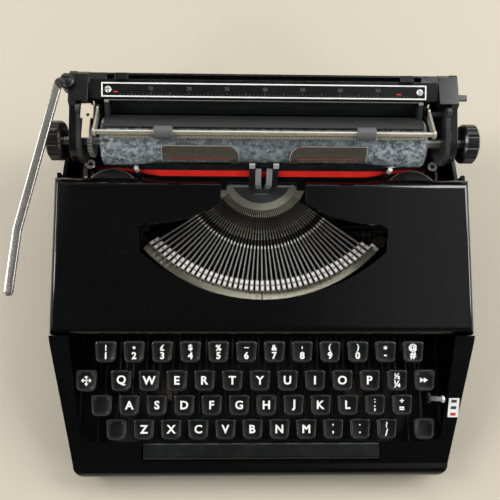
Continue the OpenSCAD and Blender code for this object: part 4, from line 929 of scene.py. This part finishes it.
class TYPE_OT_basket(bpy.types.Operator):
    """Finishes the segment, typebars and type guide, and sets the raised type faces"""
    bl_idname = "typewriter.basket"
    bl_label = "Type basket"

    def execute(self, context):
        dress("segment", "segment", 0.12)
        dress("type_basket", "basket", 0.2)
        dress("typebars", "bar_steel", 0.08)
        dress("strike_typebar", "bar_steel", 0.08)
        dress("type_guide", "guide_grey", 0.2)
        others = [bar for bar in range(BARS) if bar != LIVE_BAR]
        for name, bars, body in (("type_faces", others, "basket"),
                                 ("strike_type_faces", [LIVE_BAR], "live_typebar")):
            types = [spot for along in TYPE_SPOTS for spot in bar_marks(bars, along)]
            marks = [loose(place, turn, k) for k, (place, turn, _) in enumerate(types)]
            repeat(name, type_face(), marks, "bright_type", body)
        return {"FINISHED"}


class TYPE_OT_rest_pad(bpy.types.Operator):
    """Makes the two halves of the felt rest pad"""
    bl_idname = "typewriter.rest_pad"
    bl_label = "Rest pad"

    def execute(self, context):
        arc_y = FAN_Y + ARC_BACK
        inner, outer = PAD_IN + 0.1, PAD_OUT - 0.1
        ease, steps = 0.9, 110
        crown = PAD_HIGH - ease
        section = (arc(outer - ease, crown, ease, 0, 90, 4) + arc(inner + ease, crown, ease, 90, 180, 4)
                   + [(inner, PAD_LOW), (outer, PAD_LOW)])
        first = 0.4 / ((inner + outer) / 2)
        bag = Bag()
        for side in (-1, 1):
            verts = []
            for i in range(steps + 1):
                angle = first + (PAD_HALF - first) * i / steps
                for r, z in section:
                    fuzz = noise.noise(Vector((angle * 160, r * 1.7, z * 2.2 + side)))
                    dent = 0.10 * cos(2 * pi * angle / FAN_STEP) if z > crown else 0
                    place = r + 0.10 * fuzz
                    height = z - 0.1 + 0.08 * fuzz + dent if z > PAD_LOW else z
                    verts.append(at(side * place * sin(angle), arc_y - place * cos(angle), height))
            bag.add(verts, skin_faces(steps + 1, len(section)))
        mesh = mesh_from("rest_pad", bag.verts, bag.faces)
        smooth(mesh, 60)
        piece = fit("rest_pad", mesh, "basket", "felt", ["type_rest_pad"])
        return {"FINISHED"}


def print_line(n, s):
    """Depth and height of a point n in front of the print point and s up along the platen's face."""
    across, along = cos(PRINT_TILT), sin(PRINT_TILT)
    return PRINT_Y + s * along - n * across, PRINT_Z + s * across + n * along


def ribbon_path():
    """The tape from the left spool to the right: x, then depth and height of its low and top edge."""
    low, top = print_line(2.2, -14.7), print_line(2.2, -2.0)
    right = [(124.9, 197.5, 45.25, 197.5, 57.95), (124.9, 217, 45.25, 217, 57.95),
             (124.1, 219, 45.25, 219, 57.95), (121.6, 219.75, 45.4, 219.75, 58.1),
             (87, 210.4, 62.9, 210.8, 75.6), (71, *low, *top), (50, *low, *top)]
    return [(-s[0], *s[1:]) for s in right] + list(reversed(right))


class RIBBON_OT_tape(bpy.types.Operator):
    """Threads the two-colour ribbon from spool to spool"""
    bl_idname = "typewriter.ribbon"
    bl_label = "Ribbon"

    def execute(self, context):
        path = ribbon_path()
        stations = []
        for a, b in zip(path, path[1:]):
            span = hypot(b[0] - a[0], b[1] - a[1], b[2] - a[2])
            parts = max(1, int(span / 4))
            for i in range(parts):
                t = i / parts
                stations.append([p + (q - p) * t for p, q in zip(a, b)])
        stations.append(list(path[-1]))
        across = 6
        verts, length = [], [0.0]
        for k, (x, y0, z0, y1, z1) in enumerate(stations):
            for j in range(across + 1):
                t = j / across
                verts.append(at(x, y0 + (y1 - y0) * t, z0 + (z1 - z0) * t))
            if k:
                middle = [(u + v) / 2 for u, v in zip(verts[-1], verts[-1 - across])]
                before = [(u + v) / 2 for u, v in zip(verts[-2 - across], verts[-2 - 2 * across])]
                length.append(length[-1] + hypot(*(m - b for m, b in zip(middle, before))))
        row = across + 1
        mesh = bpy.data.meshes.new("ribbon_tape")
        mesh.from_pydata(verts, [], sheet_faces(len(stations), row))
        mapping = mesh.uv_layers.new(name="across")
        for loop in mesh.loops:
            k, j = divmod(loop.vertex_index, row)
            mapping.data[loop.index].uv = (length[k] * 20, j / across)
        piece = fit("ribbon_tape", thicken("ribbon_tape", mesh, 0.16), "base", "tape", ["ribbon"])
        return {"FINISHED"}


def washer(name, inner, outer, thick, steps=32):
    """A flat ring with an eased outer edge, standing about its own middle."""
    section = [(inner, 0), (outer, 0), (outer, thick * 0.6), (outer - thick * 0.4, thick), (inner, thick)]
    verts = [(r * cos(2 * pi * i / steps) * MM, r * sin(2 * pi * i / steps) * MM, z * MM)
             for i in range(steps) for r, z in section]
    mesh = mesh_from(name, verts, skin_faces(steps, len(section), ends=False))
    smooth(mesh, 30)
    return mesh


def round_platen(x, up, lift=0.0):
    """A place in the card holders' sheet or lifted off it, that far up round the platen in radians."""
    r = HOLDER_R + lift
    return at(x, PLATEN_Y - r * cos(up), PLATEN_Z + r * sin(up))


def holder_sheets():
    """Both curved card holders: a sheet with one big rounded corner and a tab down to the ribbon's plate."""
    inner, outer, tab, corner, small, edge = 17.0, 69.0, 23.0, 8.0, 2.0, 0.55
    low, high = radians(22), radians(60)
    tall = HOLDER_R * (high - low)
    levels = [tall * i / 6 for i in range(3)] + [tall - 0.5, tall]
    levels += [tall - corner * cos(pi / 2 * i / 12) for i in range(12)]
    rows = []
    for level in sorted(levels):
        over, tip = max(0, level - tall + corner), max(0, level - tall + small)
        start = inner + corner - sqrt(corner ** 2 - over ** 2)
        rows.append((level, start, outer - small + sqrt(small ** 2 - tip ** 2)))
    tab_turns = [radians(-36 + 58 * i / 12) for i in range(13)]
    bag, marks = Bag(), []
    for side in (-1, 1):
        verts = []
        for level, u0, u1 in rows:
            for x in [u0, u0 + edge] + [u0 + (u1 - u0) * i / 8 for i in range(1, 8)] + [u1 - edge, u1]:
                verts.append(round_platen(side * x, low + level / HOLDER_R))
        n = len(verts) // len(rows)
        bag.add(verts, sheet_faces(len(rows), n))
        # The side edges and the top row are marked as rim, for the painted edge highlight
        marks += [float(i in (0, n - 1) or a == len(rows) - 1) for a in range(len(rows)) for i in range(n)]
        verts = [round_platen(side * x, turn) for turn in tab_turns for x in (inner, tab)]
        foot = [Vector((v.x, v.y + 0.4 * MM, at(0, 0, 44).z)) for v in verts[:2]]
        bag.add(foot + verts, sheet_faces(len(tab_turns) + 1, 2))
        marks += [0.0] * len(foot + verts)
    mesh = mesh_from("holder_sheets", bag.verts, bag.faces)
    mark_rim(mesh, marks)
    return thicken("holder_sheets", mesh, 0.8)


class RIBBON_OT_guides(bpy.types.Operator):
    """Dresses the ribbon's plate, posts, spools, vibrator and the clear card holders"""
    bl_idname = "typewriter.ribbon_guides"
    bl_label = "Ribbon guides"

    def execute(self, context):
        dress("ribbon_plate", "ribbon_plate", 0.2)
        dress("ribbon_vibrator", "vibrator", 0.15)
        for spool in ("left_spool", "right_spool"):
            dress(spool, spool, 0.2)
        marks = [mark(at(side * GUIDE_X, GUIDE_Y, GUIDE_TOP)) for side in (-1, 1)]
        repeat("guide_rings", washer("guide_ring", 1.5, 3.3, 0.4), marks, "chrome", "base")
        fit("holder_sheets", holder_sheets(), "base", "clear", ["card_holders"])
        return {"FINISHED"}


def holder_marks(side):
    """Ticks along the lower edge of one card holder."""
    marks = []
    for i in range(HOLDER_TICKS):
        up, long = (HOLDER_TICK_UP, 1) if i % LONG_EVERY else (HOLDER_LONG_UP, 1.7)
        place = round_platen(side * (HOLDER_TICK_X + i * TICK_PITCH), up, HOLDER_TICK_LIFT)
        marks.append(mark(place, (pi / 2 - up, 0, 0), (1, long, 1)))
    return marks


def lever_bar():
    """The return lever: an eye on its stud and a bar with rounded edges, cranked once, with a round tip."""
    half_w, half_t, middle, square = 2.8, 1.5, 101.1, 0.42
    path = [Vector(spot) for spot in ((-134.5, 260.3), (-136.0, 259.2), (-137.3, 255.5), (-155.6, 159.0),
                                      (-157.9, 120.0))]
    spots = [a.lerp(b, i / 8) for a, b in zip(path, path[1:]) for i in range(8)] + [path[-1]]
    rings = []
    for k, spot in enumerate(spots):
        along = (spots[min(k + 1, len(spots) - 1)] - spots[max(k - 1, 0)]).normalized()
        rings.append((spot, along, 1.0))
    for i in range(1, 5):
        round_off = pi / 2 * i / 5
        rings.append((path[-1] + along * half_w * sin(round_off), along, cos(round_off)))
    count, verts = 24, []
    turns = [2 * pi * (i + 0.5) / count for i in range(count)]
    section = [[copysign(abs(v) ** square, v) for v in (cos(a), sin(a))] for a in turns]
    for spot, along, share in rings:
        for wide, high in section:
            across = Vector((along.y, -along.x)) * half_w * share * wide
            verts.append(at(spot.x + across.x, spot.y + across.y, middle + half_t * share * high))
    bag = Bag()
    bag.add(verts, skin_faces(len(rings), count))
    eye = at(LEVER_PIVOT[0], LEVER_PIVOT[1], middle - half_t)
    bag.add_mesh(washer("lever_eye", 2.7, 4.8, 2 * half_t), lambda point: eye + point)
    mesh = mesh_from("lever_bar", bag.verts, bag.faces)
    smooth(mesh, 40)
    return mesh


class CARRIAGE_OT_frame(bpy.types.Operator):
    """Dresses the carriage, platen, levers and bail"""
    bl_idname = "typewriter.carriage"
    bl_label = "Carriage"

    def execute(self, context):
        for node, material, slot, edge in (
            ("carriage_frame", "frame", "frame", 0.3),
            ("paper_table", "paper_table", "frame", 0.3),
            ("scale_bar", "carriage_black", "frame", 0.4),
            ("scale_frame", "scale_line", "chrome", 0.12),
            ("carriage_screws", "screws", "chrome", 0.15),
            ("platen", "platen_rubber", "platen_rubber", 0.3),
            ("paper_bail", "bail", "chrome", 0.2),
            ("left_bail_roller", "roller", "rubber", 0.3),
            ("right_bail_roller", "roller", "rubber", 0.3),
            ("line_space_lever", "beige", "beige", 0.4),
            ("paper_release_lever", "end_cover", "chrome", 0.4),
            ("left_margin_stop", "end_cover", "casing", 0.3),
            ("right_margin_stop", "end_cover", "casing", 0.3),
            ("colour_selector", "chrome", "chrome", 0.3),
        ):
            dress(node, material, edge)
        fit("lever_bar", lever_bar(), "return_arm", "return_lever", ["return_lever"])
        return {"FINISHED"}


def mark_scale():
    """Sets ticks, numbers and red end marks on the slope of the scale bar."""
    slope = atan2(SCALE_RISE, 1.0)
    turn = Matrix.Rotation(slope, 3, "X")

    def on_scale(x, y, lift):
        return at(x, y, SCALE_Z + (y - SCALE_Y) * SCALE_RISE + lift)

    marks = []
    for i in range(-38, 39):
        y, long = (SCALE_TICK_Y, 1.0) if i % LONG_EVERY else (SCALE_LONG_Y, 1.8)
        marks.append(mark(on_scale(i * TICK_PITCH, y, 0.03), (slope, 0, 0), (1, long, 1)))
    tick = bar_shape("scale_tick", 0.16, 0.55, 0.03)
    repeat("scale_ticks", tick, marks, "scale_ink", "carriage")
    bag = Bag()
    for ten in range(-3, 4):
        base = on_scale(ten * 10 * TICK_PITCH, SCALE_NUMBER_Y, 0.01)
        bag.add_mesh(glyph(str((ten + 4) * 10), 2.4, 0.03), lambda point: base + turn @ (point * MM))
    bag.fit("scale_numbers", "carriage", "frame", "scale_ink")
    marks = [mark(on_scale(x, SCALE_END_Y, 0.03), (slope, 0, 0)) for x in SCALE_ENDS]
    dash = bar_shape("end_mark", 1.5, 0.35, 0.03)
    repeat("scale_end_marks", dash, marks, "red_ink", "carriage")


def mark_bail():
    """Sets ticks on the bail, none of them behind its rollers, and dull strips to each side of those."""
    marks = []
    for i in range(-40, 41):
        x = i * TICK_PITCH
        if not ROLLER_GAP[0] <= abs(x) <= ROLLER_GAP[1]:
            long = 1.0 if i % LONG_EVERY else 1.5
            marks.append(mark(at(x, BAIL_TICK_Y, BAIL_TICK_Z), stretch=(1, long, 1)))
    repeat("bail_ticks", bar_shape("bail_tick", 0.3, 0.55, 0.05), marks, "dark_ink", "bail")
    marks = [mark(at(x, BAIL_STRIP_Y, BAIL_STRIP_Z), stretch=(half, 1, 1)) for x, half in BAIL_STRIPS]
    repeat("bail_strip", bar_shape("strip", 1.0, 1.1, 0.4), marks, "strip", "bail")


def mark_holders():
    """Sets a red line and orange ticks on each card holder."""
    lift, turn = Vector(HOLDER_LINE_LIFT) * MM, (pi / 2 - HOLDER_LINE_UP, 0, 0)
    marks = [mark(round_platen(side * HOLDER_LINE_X, HOLDER_LINE_UP) + lift, turn) for side in (-1, 1)]
    repeat("holder_lines", bar_shape("holder_line", 22, 0.14, 0.04), marks, "red_ink", "base")
    marks = holder_marks(-1) + holder_marks(1)
    tick = bar_shape("holder_tick", 0.14, 0.7, 0.04)
    repeat("holder_ticks", tick, marks, "orange_ink", "base")


class CARRIAGE_OT_scales(bpy.types.Operator):
    """Marks the scale bar, the bail and the card holders"""
    bl_idname = "typewriter.scales"
    bl_label = "Scales"

    def execute(self, context):
        mark_scale()
        mark_bail()
        mark_holders()
        return {"FINISHED"}


class BODY_OT_selector_sign(bpy.types.Operator):
    """Sets the small white sign beside the colour selector"""
    bl_idname = "typewriter.selector_sign"
    bl_label = "Selector sign"

    def execute(self, context):
        slope = atan2(RAIL_RISE, 1.0)

        def on_rail(y, lift):
            return mark(at(SIGN_X, y, RAIL_Z + (y - RAIL_Y) * RAIL_RISE + lift), (slope, 0, 0))

        plate = bar_shape("sign_plate", 3.7, 7.2, 0.12)
        repeat("selector_sign", plate, [on_rail(SIGN_Y, 0.1)], "sign_white", "base")
        for name, steps, material in (("selector_black_marks", (1, 0), "dark_ink"),
                                      ("selector_red_mark", (-1,), "red_ink")):
            marks = [on_rail(SIGN_Y + SIGN_STEP * step, 0.22) for step in steps]
            repeat(name, bar_shape("sign_mark", 1.9, 1.1, 0.06), marks, material, "base")
        return {"FINISHED"}


def light_sky(world):
    """Even light, darker to the front and overhead, pale near the ground, with a glow high on the right."""
    world.use_nodes = True
    sky, nodes = Nodes(world.node_tree), world.node_tree.nodes
    place = sky.node("ShaderNodeTexCoord", output="Generated")
    x, y, z = (sky.node("ShaderNodeSeparateXYZ", {}, {0: place}, name) for name in "XYZ")
    even = looks().sky_strength
    level = sky.ramp(z, 0.10, 0.36, even, sky.ramp(y, -0.75, 0.1, 0.03, even))
    colour = sky.mix(sky.ramp(z, 0.55, 0.93), rgb(1.0, 0.99, 0.97), rgb(0.12, 0.12, 0.12))
    sky.feed(nodes["Background"].inputs["Color"], colour)
    sky.feed(nodes["Background"].inputs["Strength"], level)
    right, high = sky.ramp(x, 0.04, 0.40, 0.0, 0.5, "SMOOTHSTEP"), sky.ramp(z, 0.75, 0.93, ease="SMOOTHSTEP")
    glow = sky.node("ShaderNodeBackground", {}, {"Strength": right * high})
    both = sky.node("ShaderNodeAddShader", {}, {0: Wire(sky, nodes["Background"].outputs[0]), 1: glow})
    sky.feed(nodes["World Output"].inputs[0], both)


class STAGE_OT_studio(bpy.types.Operator):
    """Lays the floor, hangs the lamps and sets the camera"""
    bl_idname = "typewriter.studio"
    bl_label = "Stage"

    def execute(self, context):
        scene = context.scene
        scene.view_settings.view_transform = "Standard"
        form = bmesh.new()
        bmesh.ops.create_grid(form, x_segments=8, y_segments=8, size=3.0)
        mesh = bpy.data.meshes.new("floor")
        form.to_mesh(mesh)
        form.free()
        mesh.materials.append(finish("floor"))
        show("floor", mesh)

        scene.world = bpy.data.worlds.new("studio")
        light_sky(scene.world)

        for name, place, size, power in (
            ("left_window", (-1.05, 0.40, 0.70), (0.6, 0.5), 8.0),
            ("right_window", (1.10, 0.20, 0.55), (0.5, 0.4), 9.0),
            ("rear_window", (0.05, 1.05, 1.05), (1.2, 0.4), 8.0),
            ("left_high", (-0.98, 0.12, 0.98), (0.3, 0.5), 6.0),
            ("right_high", (0.80, 0.60, 1.05), (0.4, 0.4), 7.0),
            ("front_left", (-0.95, -0.70, 0.55), (0.4, 0.4), 4.5),
            ("front_right", (0.95, -0.70, 0.55), (0.4, 0.4), 4.5),
        ):
            lamp = bpy.data.lights.new(name, "AREA")
            lamp.shape = "RECTANGLE"
            lamp.size, lamp.size_y = size
            lamp.energy = power * looks().lamp_level
            aim = Vector((0, 0, 0.05)) - Vector(place)
            turn = aim.to_track_quat("-Z", "Y").to_matrix().to_4x4()
            show(name, lamp).matrix_world = Matrix.Translation(place) @ turn

        lens = bpy.data.cameras.new("photo_camera")
        lens.sensor_width = 36.0
        lens.lens = CAMERA_LENS
        lens.clip_start = 0.01
        camera = show("photo_camera", lens)
        level = cos(CAMERA_DOWN)
        look = Vector((sin(CAMERA_YAW) * level, cos(CAMERA_YAW) * level, -sin(CAMERA_DOWN)))
        right = look.cross(Vector((0, 0, 1))).normalized()
        up = right.cross(look)
        side = cos(CAMERA_ROLL) * right + sin(CAMERA_ROLL) * up
        over = -sin(CAMERA_ROLL) * right + cos(CAMERA_ROLL) * up
        turn = Matrix((side, over, -look)).transposed().to_4x4()
        camera.matrix_world = Matrix.Translation(at(*CAMERA_AT)) @ turn
        scene.camera = camera
        return {"FINISHED"}


def colour_setting(name, description, default):
    return FloatVectorProperty(name=name, description=description, subtype="COLOR", size=3, min=0, max=1,
                               default=default)


def length_setting(name, description, default, low, high):
    return FloatProperty(name=name, description=description, subtype="DISTANCE", unit="LENGTH",
                         default=default, min=low, max=high)


def level_setting(name, description, default, high):
    return FloatProperty(name=name, description=description, default=default, min=0, max=high)


class TypewriterLooks(bpy.types.PropertyGroup):
    """Sizes, colours and light that a user would change"""
    casing_colour: colour_setting("Casing colour", "Colour of the polished casing", (0.0022, 0.0022, 0.0024))
    key_colour: colour_setting("Key colour", "Colour of the key tops", (0.0030, 0.0031, 0.0034))
    legend_colour: colour_setting("Legend colour", "Colour of the key legends", (0.82, 0.82, 0.80))
    legend_size: length_setting("Legend height", "Height of a capital on a key", 0.0056, 0.003, 0.007)
    pad_colour: colour_setting("Pad colour", "Colour of the felt rest pad", (1.0, 0.95, 0.73))
    ribbon_red: colour_setting("Ribbon red", "Colour of the ribbon's lower half", (0.95, 0.03, 0.02))
    soft_edge: length_setting("Edge softness", "Width of the softened casing edges", 0.0009, 0.0001, 0.002)
    floor_colour: colour_setting("Floor colour", "Colour of the plain floor", (0.50, 0.455, 0.365))
    sky_strength: level_setting("Sky strength", "Strength of the even studio light", 0.45, 2)
    lamp_level: level_setting("Lamp level", "Level of all studio lamps together", 0.88, 5)


STEPS = (BODY_OT_casing, BODY_OT_inside, KEYS_OT_caps, KEYS_OT_legends, TYPE_OT_basket, TYPE_OT_rest_pad,
         RIBBON_OT_tape, RIBBON_OT_guides, CARRIAGE_OT_frame, CARRIAGE_OT_scales, BODY_OT_selector_sign,
         STAGE_OT_studio)


class VIEW3D_PT_typewriter(bpy.types.Panel):
    """The steps that dress the typewriter"""
    bl_label = "Typewriter"
    bl_space_type = "VIEW_3D"
    bl_region_type = "UI"
    bl_category = "Typewriter"

    def draw(self, context):
        for name in TypewriterLooks.__annotations__:
            self.layout.prop(context.scene.typewriter, name)
        for step in STEPS:
            self.layout.operator(step.bl_idname)


CLASSES = (TypewriterLooks, *STEPS, VIEW3D_PT_typewriter)


def register():
    for cls in CLASSES:
        bpy.utils.register_class(cls)
    bpy.types.Scene.typewriter = PointerProperty(type=TypewriterLooks)


def unregister():
    del bpy.types.Scene.typewriter
    for cls in reversed(CLASSES):
        bpy.utils.unregister_class(cls)


def main():
    register()
    for step in STEPS:
        group, name = step.bl_idname.split(".")
        getattr(getattr(bpy.ops, group), name)()


if __name__ == "__main__":
    main()
